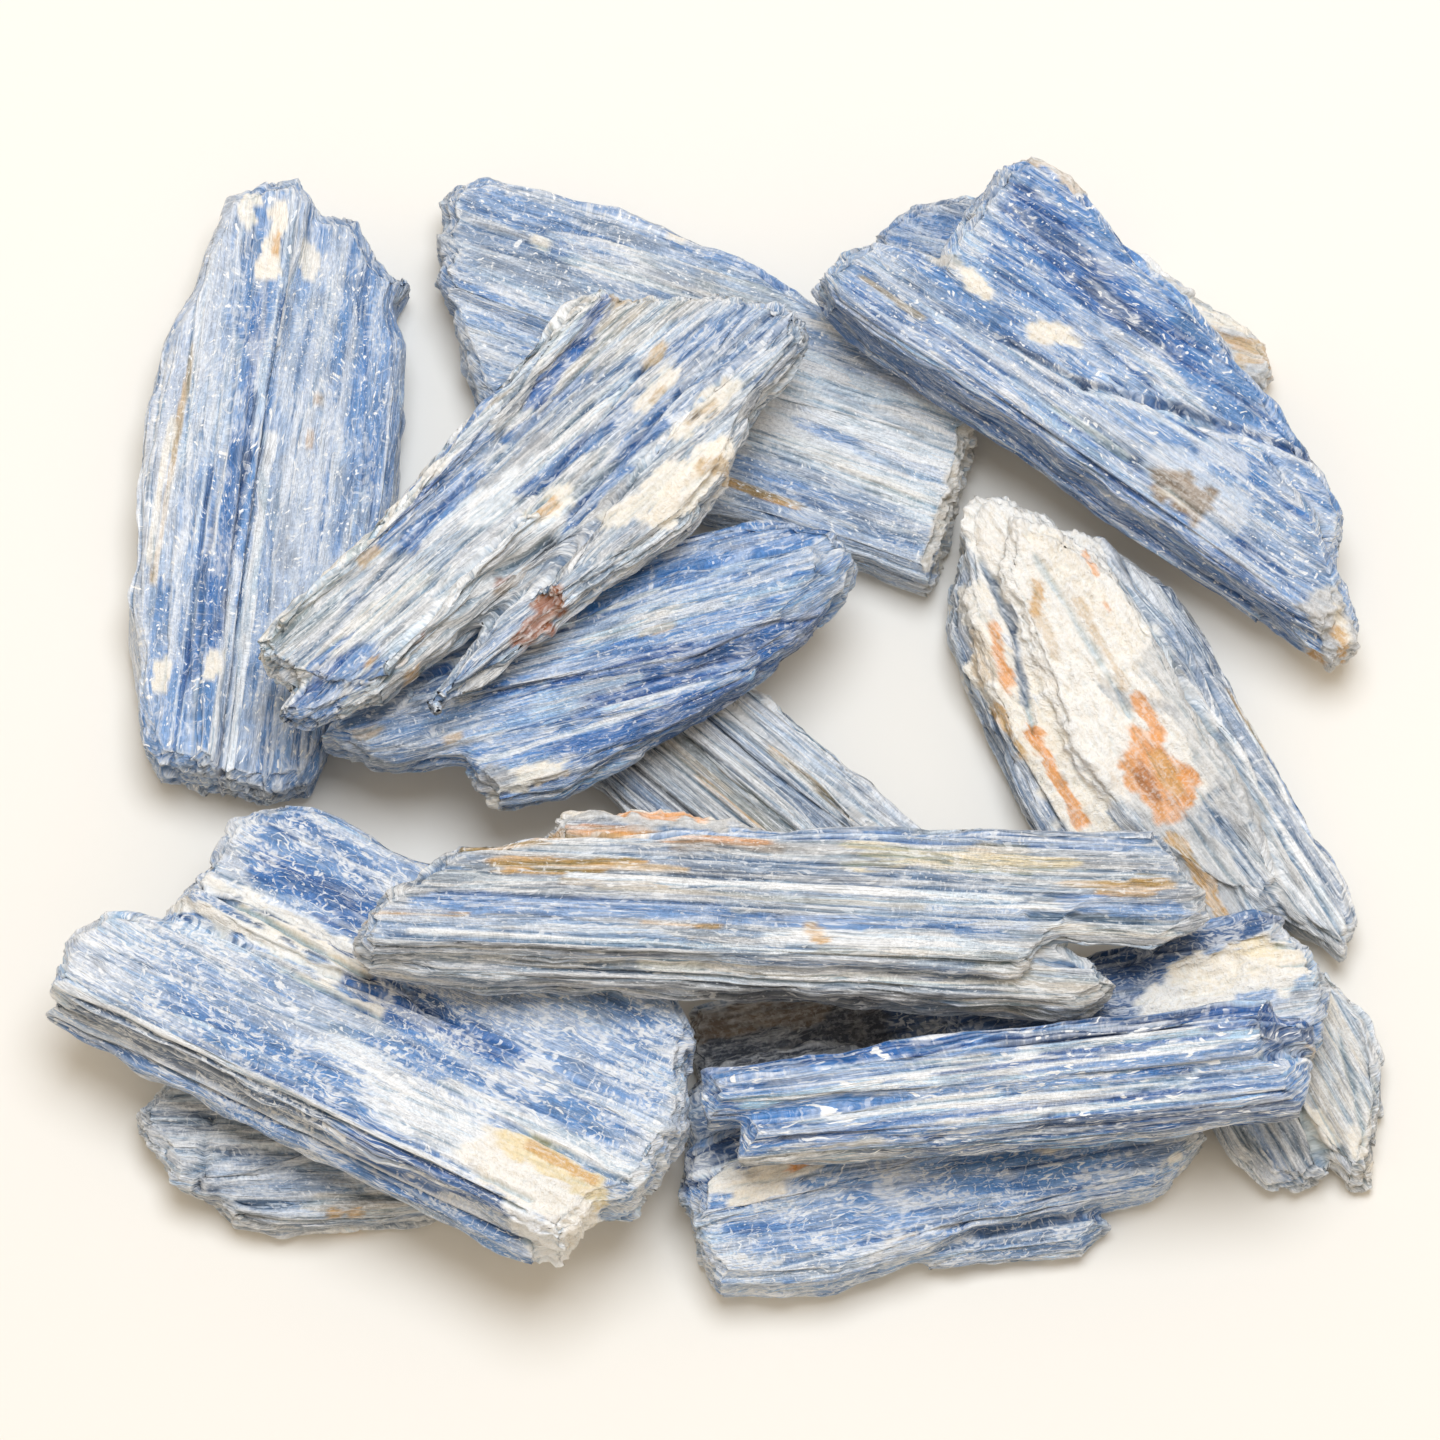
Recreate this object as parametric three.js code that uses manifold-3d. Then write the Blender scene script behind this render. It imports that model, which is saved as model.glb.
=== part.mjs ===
// Kyanite blade cluster: fifteen rough blades of kyanite heaped on a flat surface, in millimetres, +Z up.
// Each blade is a bundle of flat laths grown together, and is one solid. The blades only rest on each other.
// The origin is on the surface, at the centre of the cluster's box.
import * as THREE from "three";
import { mergeVertices } from "three/addons/utils/BufferGeometryUtils.js";
import Module from "manifold-3d";

const wasm = await Module();
wasm.setup();

// Driving dimensions, in millimetres.
const CHAMFER = 1.1; // worn corner along the edges of a lath
const SOFT_CHAMFER = 1.8; // worn corner of a lath that the blade's bundle rounds off
const REST_GAP = 0.3; // clearance left where one blade rests on another
const CELL = 0.5; // cell size of the height map that the blades are laid down on
const MAP_HALF = 80; // half the side of that square map
const STEEPEST_ALONG = 0.16; // steepest slope of a resting blade along its grain
const STEEPEST_ACROSS = 0.07; // and across it, since a blade lies on its flat side
const SEARCH_STEPS = 22; // golden-section steps in the search for a blade's resting slope
const SETTLE_ROUNDS = 3; // how often the slope is worked out again on the turned blade

// The blades, from the bottom of the heap to the top. A blade has its place on the surface and its heading,
// the angle of its grain from +X. A lath's outline runs along the grain (u) and across it (v), from the low
// face to the high face; dip is how much the high face rises for each millimetre of u and v.
const BLADES = [
  {
    name: "lower_left_under_blade",
    place: [-38.6, -41.7],
    heading: 0,
    colour: 0x7c8796,
    laths: [
      {
        outline: [
          [-11, 6.5], [-13, 4], [-12.8, 2], [-10.8, 0], [-9.5, -2.6], [-6.5, -3.8], [-2, -3], [8, 0],
          [19, 1], [17, 6], [8, 9], [-5, 9.5],
        ],
        low: 0.5, high: 6.2, dip: [0.03, 0],
      },
      {
        outline: [[-6.5, -3], [-4.5, -5.8], [0, -6.8], [6, -6.5], [13, -5.5], [18, -3], [19, 3], [6, 6], [-6, 4]],
        low: 0, high: 5.4, dip: [0, 0.05],
      },
    ],
  },
  {
    name: "bottom_blade",
    place: [19.4, -47.4],
    heading: 9,
    colour: 0x5d80b4,
    laths: [
      {
        outline: [
          [-22.6, 5.5], [-21.6, 0], [-20.4, -3.4], [-15, -4.4], [-10, -4.8], [-3, -3.4], [3, -1.7], [10, -1.5],
          [19, -0.7], [22.5, 1.5], [24.5, 3.5], [21, 8], [5, 11], [-15, 12], [-21.6, 9],
        ],
        low: 0, high: 7, dip: [0, 0.02],
      },
      { outline: [[-2, -4], [4, -4.6], [12, -4.8], [15, -2.6], [12, 1], [0, 2]], low: 0.3, high: 3.6 },
      {
        outline: [[-21, 7], [2, 8], [1, 16], [-8, 18.5], [-18, 17.5], [-22, 13]],
        low: 0.6, high: 4.6, dip: [0, -0.05],
      },
      {
        outline: [[-19, 15], [-2, 13], [6, 14], [7, 17], [4, 20], [-3, 22], [-12, 23.8], [-18.6, 23.4], [-20, 19]],
        low: 0.3, high: 3.4,
      },
      {
        outline: [[-21.8, 1.5], [-21.4, 6], [-18, 8.6], [-2, 7], [8, 5], [-4, 3], [-12, 2]],
        low: 3, high: 7.8, dip: [-0.03, 0],
      },
    ],
  },
  {
    name: "lower_right_blade",
    place: [51.8, -32.2],
    heading: -62,
    colour: 0x9a9a9c,
    laths: [
      {
        outline: [
          [-10, -1], [-6, 5.4], [0, 6.6], [4, 5.8], [7.5, 4], [10, 1.8], [12.5, -0.5], [12.3, -2.3], [9, -3.4],
          [0, -4.5], [-9, -5],
        ],
        low: 0, high: 5, dip: [-0.03, 0],
      },
      {
        outline: [[-9, -5], [-6, -1], [4, -1.8], [10.8, -3.2], [11, -6], [9, -8.6], [5, -10.3], [0, -10.5], [-6, -8.6]],
        low: 0.4, high: 4.6, dip: [-0.02, 0.06],
      },
    ],
  },
  {
    name: "slanting_grey_blade",
    place: [4.3, -9.5],
    heading: -41,
    colour: 0x8b8f98,
    laths: [
      {
        outline: [[-21, 4], [-19, 7.6], [0, 7.8], [14, 7.2], [17, 3], [16, -1.5], [0, -2], [-20, -1]],
        low: 0, high: 6.8, dip: [0, -0.04],
      },
      {
        outline: [[-19, -8], [-21, -3], [-18, 0.5], [4, 1.2], [16, 0.4], [17, -4], [14, -9], [2, -9.6]],
        low: 0.4, high: 6.2, dip: [0, 0.08],
      },
      { outline: [[-17, 1.2], [-15, 4.6], [2, 5.2], [14, 4.4], [14.6, 1.6], [0, 0.8]], low: 3, high: 7.6 },
    ],
  },
  {
    name: "left_blade",
    place: [-41, 20],
    heading: 84,
    colour: 0x93abcf,
    laths: [
      {
        outline: [
          [-28, 0], [-27.6, 6.5], [-25.5, 8], [-21, 9.3], [-12, 11], [0, 11.5], [7, 11.5], [14, 10.6], [18, 9],
          [23, 8.2], [27, 6.8], [29.3, 3.5], [29.5, 0.5], [27, -1.5], [10, -0.4],
        ],
        low: 0, high: 8.2, dip: [0, -0.12],
      },
      {
        outline: [
          [-28.4, 0.8], [10, 0.8], [26.8, 0.6], [26.4, -5], [24, -7], [22.3, -8.3], [21.5, -10.5], [18.5, -9.5],
          [15, -10.8], [8, -11.5], [0, -11.8], [-12, -11], [-23, -9], [-27.5, -7], [-28.8, -3.5],
        ],
        low: 0.3, high: 7.6, dip: [0, 0.06],
      },
      {
        outline: [[-27.8, 0.7], [-27.4, 3.8], [-10, 5], [6, 4.9], [20.4, 4.6], [20.6, 1.8], [6, 1.3], [-12, 0.8]],
        low: 4, high: 9, dip: [-0.02, 0],
      },
    ],
  },
  {
    name: "upper_back_blade",
    place: [-1.6, 30.4],
    heading: -20,
    colour: 0x9aa7bd,
    laths: [
      {
        outline: [
          [-27.4, 10.2], [-25, 11.8], [-15, 12.5], [-3, 12.5], [5, 11.3], [12, 9.8], [21, 7], [24.6, 4.3],
          [25.2, 1], [8, -1], [-10, -1.5], [-24.6, -1], [-26.4, 1.4], [-26, 3], [-27.7, 4.8], [-27.4, 6.2],
          [-28.3, 8.2],
        ],
        low: 0.4, high: 7.6, dip: [-0.01, -0.05],
      },
      {
        outline: [
          [-24.2, -0.6], [-8, 1], [10, 2], [25, 3], [25.6, -3], [25.8, -7.6], [26, -11.2], [12, -11.2], [0, -12.2],
          [-13, -12], [-18, -9], [-22, -4.5],
        ],
        low: 0, high: 7, dip: [0, 0.07],
      },
    ],
  },
  {
    name: "hidden_back_blade",
    place: [32.2, 38.4],
    heading: -19,
    colour: 0x6f7f9b,
    laths: [
      {
        outline: [
          [-19.6, 0], [-17, 3.5], [-12.5, 6.3], [-2, 6.8], [5, 6.2], [10, 4.2], [11, -2], [4, -6.5], [-8, -7.5],
          [-17, -5],
        ],
        low: 0, high: 6.6, dip: [0, 0.05],
      },
      { outline: [[6, 3.8], [12, 4], [17.6, 2.2], [19.6, 0], [19, -2.6], [13, -5], [5, -4]], low: 0.4, high: 5.8 },
    ],
  },
  {
    name: "quartz_blade",
    place: [38.8, -3.8],
    heading: -58,
    colour: 0xcfc7bb,
    laths: [
      {
        outline: [
          [-28, -1.5], [-26.5, 1], [-22, 3.8], [-18.5, 6.3], [-8, 7.5], [4, 7], [14, 6], [20, 4], [19, -4],
          [13, -9], [4, -12.6], [-6, -12.2], [-12, -10.6], [-17, -9.2], [-22, -6.4], [-26, -4.2],
        ],
        low: 0, high: 7, dip: [-0.06, 0],
      },
      {
        outline: [[-18, 7], [-12, 10], [-5, 9.6], [10, 8.3], [20, 7.8], [24, 6.2], [25.6, 3.6], [20, 1], [0, 2], [-15, 4]],
        low: 0.4, high: 5.4, dip: [0, -0.05],
      },
      {
        outline: [[-25, -5], [-22, -7.8], [-18, -10], [-10, -12], [0, -13.6], [10, -13], [4, -8], [-14, -5.4]],
        low: 0.8, high: 6.2, dip: [0, 0.05],
      },
      {
        outline: [
          [-24, 0], [-20, 3.4], [-14, 5.8], [-6, 5.4], [8, 4.4], [17, 3], [18.6, 0.4], [15, -3.4], [5, -7.6],
          [-4, -7.4], [-12, -5.6], [-20, -4.2],
        ],
        low: 3.4, high: 8.2, dip: [-0.09, 0.02],
      },
    ],
  },
  {
    name: "fan_blade",
    place: [44.1, -27.8],
    heading: 8,
    colour: 0x6a7ea8,
    laths: [
      {
        outline: [
          [-24, 3], [-10, 5], [-3, 6], [3.5, 6.4], [6.8, 5.2], [9, 2.4], [9.6, -2.6], [8, -6.6], [-2, -7.6],
          [-13, -6.6], [-25, -3],
        ],
        low: 0, high: 4.6, dip: [0, 0.02],
      },
      { outline: [[-9, 2.6], [-3, 6], [4, 6.5], [7, 5], [6, 2.2], [0, 1.8], [-6, 0.4]], low: 1, high: 5.6 },
    ],
  },
  {
    name: "front_blue_blade",
    place: [25.4, -38.6],
    heading: 5.5,
    colour: 0x6d8fc8,
    laths: [
      {
        outline: [
          [-26.6, 0], [-26.6, 4.9], [-10, 5.5], [5, 5.8], [23.6, 6], [24.6, 1.6], [22, -1.2], [0, -1.4],
        ],
        low: 0.3, high: 7.8, chamfer: SOFT_CHAMFER, dip: [0, 0.03],
      },
      {
        outline: [
          [-24.3, -3.6], [-23.6, 1], [0, 2.4], [22, 2.4], [26.4, 0.2], [25.2, -4.4], [15, -5], [0, -5],
          [-12, -4.2],
        ],
        low: 0, high: 7.2, chamfer: SOFT_CHAMFER, dip: [0, 0.05],
      },
      { outline: [[22, 0.8], [22, 4.4], [26, 4.5], [27.2, 3.2], [26.8, 0.8]], low: 1, high: 6 },
    ],
  },
  {
    name: "centre_blue_blade",
    place: [-10.8, 1.4],
    heading: 15.5,
    colour: 0x5b7cb4,
    laths: [
      {
        outline: [
          [-25.5, 0.3], [-22, -3.2], [-17, -5], [-8, -6], [6, -7.8], [13, -5.8], [19, -3], [23.5, 0], [25.3, 3],
          [24, 6], [20, 7.8], [16, 9], [4, 9.3], [-10, 7.6], [-20, 4],
        ],
        low: 0, high: 6, dip: [0.01, 0.03],
      },
      {
        outline: [[-14, -4.5], [-13.4, -8], [-12, -10.4], [-6, -11], [0, -9.4], [8, -7.6], [12, -4], [-2, -2]],
        low: 0.5, high: 5.4, dip: [0.02, 0.06],
      },
      {
        outline: [[-19, -0.6], [-6, -2.4], [9, -4.2], [17, -2.6], [22.6, 0.8], [22, 5], [10, 5.8], [-8, 4], [-17, 2.4]],
        low: 3, high: 7, dip: [0.01, 0],
      },
    ],
  },
  {
    name: "top_right_blade",
    place: [32.7, 25.2],
    heading: -34,
    colour: 0x7d9bcf,
    laths: [
      {
        outline: [
          [-27, -1], [-25.5, 1.5], [-22, 3.3], [-12, 4.2], [0, 3.8], [6, 4.8], [14, 6.4], [22, 4], [26.5, 0.8],
          [28.6, -2], [28, -4.8], [25, -5.4], [10, -5], [-5, -5.1], [-20, -5.6], [-25, -5.3], [-27.5, -3.6],
        ],
        low: 0, high: 9.4, dip: [0, 0.02],
      },
      {
        outline: [
          [-19.6, 2], [-19.8, 14], [-18, 16.2], [-14, 16.8], [-8, 15.4], [2, 13.9], [10, 11.6], [19, 8.4],
          [24, 6.4], [25.3, 3.5], [26, 1], [14, 1], [-6, -1],
        ],
        low: 0.4, high: 8.6, dip: [-0.05, -0.04],
      },
      { outline: [[23, 1.6], [27.4, 1], [30.4, -1], [31.6, -3.8], [30.4, -5.6], [26, -5.9], [22, -5]], low: 1, high: 7.4 },
      {
        outline: [[-25, -4.2], [-20, -6.3], [-5, -6], [10, -5.9], [23, -6], [21, -3], [0, -2]],
        low: 0.8, high: 4.6,
      },
    ],
  },
  {
    name: "lower_left_blade",
    place: [-30.4, -33.2],
    heading: -27,
    colour: 0x9db8e0,
    laths: [
      {
        outline: [
          [-27, -9.5], [-27.5, -4], [-26, -1], [-23, 0.5], [-10, 3], [10, 4], [28.3, 4], [28.5, 0], [27.6, -4],
          [25.3, -6], [24.2, -10.6], [10, -10.4], [-10, -10.2], [-22, -10.1],
        ],
        low: 0, high: 8.6, dip: [0, -0.02],
      },
      {
        outline: [
          [-22, -1], [-21, 6], [-20, 12], [-17, 15.5], [-14.5, 16.6], [0, 16.7], [12, 16.6], [22, 15.3],
          [25.5, 13], [26, 9.5], [28.4, 5.5], [28.8, 1], [10, -1], [-10, -2],
        ],
        low: 0.4, high: 7.4, dip: [0, -0.04],
      },
      { outline: [[-21, 2.6], [-20, 5.6], [-10, 6.2], [0, 5], [4, 3], [-5, 1.8], [-14, 1.4]], low: 4, high: 8.8 },
      {
        outline: [[-26.5, -8], [-27.2, -11], [-20, -11.2], [-16, -11.8], [0, -11.8], [12, -12], [22, -11.8], [23.6, -8]],
        low: 0.8, high: 4.6,
      },
    ],
  },
  {
    name: "centre_blade",
    place: [-16.2, 13.5],
    heading: 42,
    colour: 0xb1b8c6,
    laths: [
      {
        outline: [
          [-28, 4.5], [-27, 7.3], [-15, 8.2], [0, 10.8], [14, 12.6], [18.6, 11], [21.6, 8.5], [26, 5], [29.8, 0],
          [30.4, -1.8], [29, -4.3], [20, -5], [8, -6], [-6, -5], [-12, -4.4], [-22, -4.4], [-26, -1],
        ],
        low: 0, high: 5.6, dip: [0, 0.05],
      },
      {
        outline: [[-26, 6.4], [-12, 8.2], [2, 10.6], [15, 12.8], [18.6, 12], [19, 9.6], [8, 7.8], [-5, 6], [-18, 5]],
        low: 3, high: 6.9, dip: [0.01, 0],
      },
      {
        outline: [
          [-6, -6], [4, -4], [14, -1.5], [24, -1.4], [30, -1.2], [28.4, -4.6], [21, -6.2], [14.6, -9.2], [9, -10.4],
          [2, -9.8], [-5, -9],
        ],
        low: 0.4, high: 6.2, dip: [0, 0.03],
      },
      { outline: [[-20, -8], [-18, -6.4], [-10, -4.6], [-2, -3], [0, -7], [-4, -9.3], [-12, -8.9]], low: 0.8, high: 4.4 },
      { outline: [[-30.4, 0.4], [-29.4, 1.7], [-24, 2.6], [-16, 1], [-18, -3.4], [-23, -4], [-28, -2.2]], low: 0.6, high: 4.6 },
      { outline: [[-22, -2.6], [-10, -0.6], [-1, 0.6], [0, -1.6], [-10, -3.4], [-20, -4.2]], low: 3, high: 6.6 },
    ],
  },
  {
    name: "long_front_blade",
    place: [4.7, -24.6],
    heading: -0.7,
    colour: 0xa9b2c4,
    laths: [
      {
        outline: [
          [-37.5, -4], [-36.5, -1.5], [-33, 1.5], [-28.5, 5], [-22, 6.3], [-10, 7.3], [0, 8], [12, 8.5], [24, 9.3],
          [33, 9.5], [35, 7], [37.4, 3.8], [36.8, 2.4], [33, 1.2], [28.5, 1.4], [26.6, 0.8], [25.4, -0.8],
          [24, -1.8], [22.8, -3.2], [21.2, -4.9], [10, -5], [-10, -5.2], [-30, -5.5], [-36, -5.8],
        ],
        low: 2, high: 8.4, dip: [0, 0.02],
      },
      {
        outline: [
          [20, 4], [36.8, 4.4], [37.8, 1.4], [36.4, 0.2], [34.8, -1], [33, -1.9], [30.6, -1.6], [28.4, -1.4],
          [26.4, -1.7], [24.6, -1.2], [20, -0.6],
        ],
        low: 5.2, high: 7.9,
      },
      {
        outline: [
          [-36, -5.4], [-30, -6.4], [-10, -6.6], [5, -6.4], [15, -7.2], [24, -7.2], [26.8, -6.8], [28.8, -5.8],
          [30, -4.5], [28.8, -3.4], [28.2, -2.2], [25.8, -1.4], [24, 1], [15, 2], [0, 3], [-20, 2], [-33, -2],
        ],
        low: 0.5, high: 6.2,
      },
      {
        outline: [[-30, -4], [-28, 3], [-15, 6], [10, 7], [30, 8], [33.5, 4.6], [27, 1.6], [21, -3], [0, -5]],
        low: 0, high: 5,
      },
      { outline: [[-21.5, 5], [-20, 9], [-13, 9.7], [-6, 9.2], [-1, 8.2], [-5, 4], [-18, 4]], low: 1, high: 7.2 },
    ],
  },
];

// One lath as a closed plate, chamfered all round. Its side walls stand on the outline.
function lathSolid({ outline, low, high, chamfer = CHAMFER, dip = [0, 0] }) {
  const shape = new THREE.Shape(outline.map(([u, v]) => new THREE.Vector2(u, v)));
  const plate = new THREE.ExtrudeGeometry(shape, {
    depth: high - low - 2 * chamfer,
    steps: 1,
    bevelThickness: chamfer,
    bevelSize: chamfer,
    bevelOffset: -chamfer,
    bevelSegments: 1,
  });
  plate.translate(0, 0, low + chamfer);
  const centre = new THREE.Vector2();
  for (const [u, v] of outline) centre.add(new THREE.Vector2(u, v).divideScalar(outline.length));
  const middle = (low + high) / 2;
  const corners = plate.attributes.position;
  for (let i = 0; i < corners.count; i += 1) {
    if (corners.getZ(i) < middle) continue;
    const rise = dip[0] * (corners.getX(i) - centre.x) + dip[1] * (corners.getY(i) - centre.y);
    corners.setZ(i, corners.getZ(i) + rise);
  }
  plate.deleteAttribute("normal");
  plate.deleteAttribute("uv");
  const merged = mergeVertices(plate, 1e-4);
  return new wasm.Manifold(
    new wasm.Mesh({
      numProp: 3,
      vertProperties: new Float32Array(merged.attributes.position.array),
      triVerts: new Uint32Array(merged.index.array),
    }),
  );
}

// A blade's laths joined in one solid, as a three.js geometry in the blade's own frame.
function bladeGeometry(laths) {
  const solid = laths.map(lathSolid).reduce((whole, next) => whole.add(next));
  const { vertProperties, triVerts } = solid.getMesh();
  const geometry = new THREE.BufferGeometry();
  geometry.setAttribute("position", new THREE.BufferAttribute(new Float32Array(vertProperties), 3));
  geometry.setIndex(new THREE.BufferAttribute(new Uint32Array(triVerts), 1));
  geometry.computeVertexNormals();
  return geometry;
}

const UP = new THREE.Vector3(0, 0, 1);

// Height map of the heap: the highest point of the blades already down, cell by cell, and 0 on the surface.
const MAP_SIDE = Math.round((2 * MAP_HALF) / CELL);
const heap = new Float32Array(MAP_SIDE * MAP_SIDE);

// The cells that a mesh covers, with the heights of its lowest and highest face over each.
function coveredCells(mesh) {
  mesh.updateMatrixWorld(true);
  const corners = mesh.geometry.attributes.position;
  const faces = mesh.geometry.index;
  const covered = new Map();
  const point = [0, 1, 2].map(() => new THREE.Vector3());
  for (let f = 0; f < faces.count; f += 3) {
    point.forEach((p, k) => p.fromBufferAttribute(corners, faces.getX(f + k)).applyMatrix4(mesh.matrixWorld));
    const [p, q, r] = point;
    const area = (q.x - p.x) * (r.y - p.y) - (r.x - p.x) * (q.y - p.y);
    if (Math.abs(area) < 1e-6) continue;
    const from = (a, b, c) => Math.ceil((Math.min(a, b, c) + MAP_HALF) / CELL - 0.5);
    const to = (a, b, c) => Math.floor((Math.max(a, b, c) + MAP_HALF) / CELL - 0.5);
    for (let j = from(p.y, q.y, r.y); j <= to(p.y, q.y, r.y); j += 1) {
      const y = (j + 0.5) * CELL - MAP_HALF;
      for (let i = from(p.x, q.x, r.x); i <= to(p.x, q.x, r.x); i += 1) {
        const x = (i + 0.5) * CELL - MAP_HALF;
        const toQ = ((x - p.x) * (r.y - p.y) - (r.x - p.x) * (y - p.y)) / area;
        const toR = ((q.x - p.x) * (y - p.y) - (x - p.x) * (q.y - p.y)) / area;
        if (toQ < 0 || toR < 0 || toQ + toR > 1) continue;
        const z = p.z + toQ * (q.z - p.z) + toR * (r.z - p.z);
        const index = j * MAP_SIDE + i;
        const cell = covered.get(index);
        if (cell) {
          cell.low = Math.min(cell.low, z);
          cell.high = Math.max(cell.high, z);
        } else {
          covered.set(index, { index, x, y, low: z, high: z });
        }
      }
    }
  }
  return [...covered.values()];
}

// How far the blade has to rise, or may sink, to touch what lies below it when it slopes that much more
// along its grain and across it.
function riseToRest(cells, along, across) {
  let rise = -Infinity;
  for (const cell of cells) rise = Math.max(rise, cell.floor - cell.low - along * cell.u - across * cell.v);
  return rise;
}

// Golden-section search for the lowest value of a function with one valley.
function lowest(valueAt, from, to) {
  const ratio = (Math.sqrt(5) - 1) / 2;
  let near = to - ratio * (to - from);
  let far = from + ratio * (to - from);
  let nearValue = valueAt(near);
  let farValue = valueAt(far);
  for (let step = 0; step < SEARCH_STEPS; step += 1) {
    if (nearValue < farValue) {
      to = far;
      [far, farValue] = [near, nearValue];
      near = to - ratio * (to - from);
      nearValue = valueAt(near);
    } else {
      from = near;
      [near, nearValue] = [far, farValue];
      far = from + ratio * (to - from);
      farValue = valueAt(far);
    }
  }
  return nearValue < farValue ? { at: near, value: nearValue } : { at: far, value: farValue };
}

// The height of the heap under a cell, with its neighbours, and the gap that keeps two stones apart.
function floorUnder(index) {
  let top = 0;
  for (const row of [-MAP_SIDE, 0, MAP_SIDE]) {
    for (const column of [-1, 0, 1]) top = Math.max(top, heap[index + row + column]);
  }
  return top > 0 ? top + REST_GAP : 0;
}

// Lays a blade down where its weight is lowest: it slopes and drops until it rests on the heap or the surface.
function settle(mesh, heading) {
  const grain = new THREE.Vector2(Math.cos(heading), Math.sin(heading));
  const slope = { along: 0, across: 0 };
  for (let round = 0; round <= SETTLE_ROUNDS; round += 1) {
    const up = new THREE.Vector3(-slope.along, -slope.across, 1).normalize();
    mesh.quaternion.setFromAxisAngle(UP, heading);
    mesh.quaternion.multiply(new THREE.Quaternion().setFromUnitVectors(UP, up));
    const cells = coveredCells(mesh);
    const centre = new THREE.Vector2();
    for (const { x, y } of cells) centre.add(new THREE.Vector2(x, y).divideScalar(cells.length));
    for (const cell of cells) {
      const arm = new THREE.Vector2(cell.x, cell.y).sub(centre);
      cell.u = arm.dot(grain);
      cell.v = grain.cross(arm);
      cell.floor = floorUnder(cell.index);
    }
    if (round === SETTLE_ROUNDS) {
      mesh.position.z += riseToRest(cells, 0, 0);
      break;
    }
    const bestAcross = (along) =>
      lowest(
        (across) => riseToRest(cells, along, across),
        -STEEPEST_ACROSS - slope.across,
        STEEPEST_ACROSS - slope.across,
      );
    const along = lowest(
      (trial) => bestAcross(trial).value,
      -STEEPEST_ALONG - slope.along,
      STEEPEST_ALONG - slope.along,
    ).at;
    slope.across += bestAcross(along).at;
    slope.along += along;
  }
  for (const { index, high } of coveredCells(mesh)) heap[index] = Math.max(heap[index], high);
}

const cluster = new THREE.Group();
for (const { name, place, heading, colour, laths } of BLADES) {
  const finish = new THREE.MeshStandardMaterial({ color: colour, roughness: 0.5, metalness: 0 });
  const blade = new THREE.Mesh(bladeGeometry(laths), finish);
  blade.name = name;
  blade.position.set(place[0], place[1], 0);
  settle(blade, THREE.MathUtils.degToRad(heading));
  cluster.add(blade);
}

const box = new THREE.Box3().setFromObject(cluster, true);
const middle = box.getCenter(new THREE.Vector3());
cluster.position.set(-middle.x, -middle.y, -box.min.z);

export default cluster;
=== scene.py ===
"""The looks of the kyanite blade cluster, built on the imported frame. Table lengths are millimetres."""

import itertools
import math

import bpy
import numpy as np
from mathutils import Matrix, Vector


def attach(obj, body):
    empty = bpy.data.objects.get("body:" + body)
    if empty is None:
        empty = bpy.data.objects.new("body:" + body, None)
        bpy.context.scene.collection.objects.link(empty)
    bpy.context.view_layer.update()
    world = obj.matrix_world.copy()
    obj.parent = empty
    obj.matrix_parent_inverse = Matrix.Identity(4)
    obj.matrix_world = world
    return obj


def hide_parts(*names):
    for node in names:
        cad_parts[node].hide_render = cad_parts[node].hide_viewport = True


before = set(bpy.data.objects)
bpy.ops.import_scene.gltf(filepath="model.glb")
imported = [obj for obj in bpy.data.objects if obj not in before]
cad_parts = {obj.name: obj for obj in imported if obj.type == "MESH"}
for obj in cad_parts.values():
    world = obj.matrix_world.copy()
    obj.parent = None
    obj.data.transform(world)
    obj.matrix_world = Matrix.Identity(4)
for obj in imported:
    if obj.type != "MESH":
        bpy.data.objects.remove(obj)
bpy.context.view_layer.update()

MM = 0.001

# The camera looks down on the heap, and the frame is WIDTH_SEEN wide on the surface. Lengths are metres,
# but the sensor's is millimetres.
CAMERA_ELEVATION = 72
CAMERA_DISTANCE = 0.8
CAMERA_TARGET = (0.00039, 0.00203, 0)
WIDTH_SEEN = 0.1296
SENSOR = 36
CLIP_START = 0.01

# Light from all round, one soft lamp above the heap, and the surface under it, in metres and watts.
SKY_COLOUR = (1.0, 0.865, 0.7, 1)
SKY_STRENGTH = 0.62
KEY_PLACE = (0.05, 0.15, 0.76)
KEY_SIZE = 0.48
KEY_POWER = 4.9
KEY_COLOUR = (0.81, 0.886, 1.0)
FLOOR_SIZE = 6
FLOOR_COLOUR = (0.88, 0.845, 0.775, 1)

# How high the finest relief in the material stands, in metres.
BUMP_HEIGHT = 0.00028

# Mesh: the voxel across the grain in mm, how much longer it is along it, and a point's lowest height in mm.
VOXEL = 0.17
STRETCH = 3.5
LOWEST = 0.02

# Tones as they look in daylight, sRGB from 0 to 255.
TONES = {
    "navy": (20, 75, 128), "deep": (30, 101, 172), "blue": (74, 132, 193), "sky": (121, 160, 209),
    "pale": (174, 192, 216), "frost": (216, 222, 231), "white": (250, 250, 248), "quartz": (250, 245, 235),
    "steel": (136, 155, 180), "slate": (88, 106, 131), "grey": (154, 157, 162), "ash": (200, 199, 196),
    "beige": (208, 198, 180), "cream": (250, 241, 224), "yellow": (240, 220, 172), "tan": (212, 182, 138),
    "ochre": (214, 163, 84), "orange": (238, 160, 80), "rust": (152, 80, 30), "brown": (150, 128, 104),
    # dark is painted shade: it is laid in crevices, in cuts and in the recess under other blades.
    "dark": (50, 52, 58),
}
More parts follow.
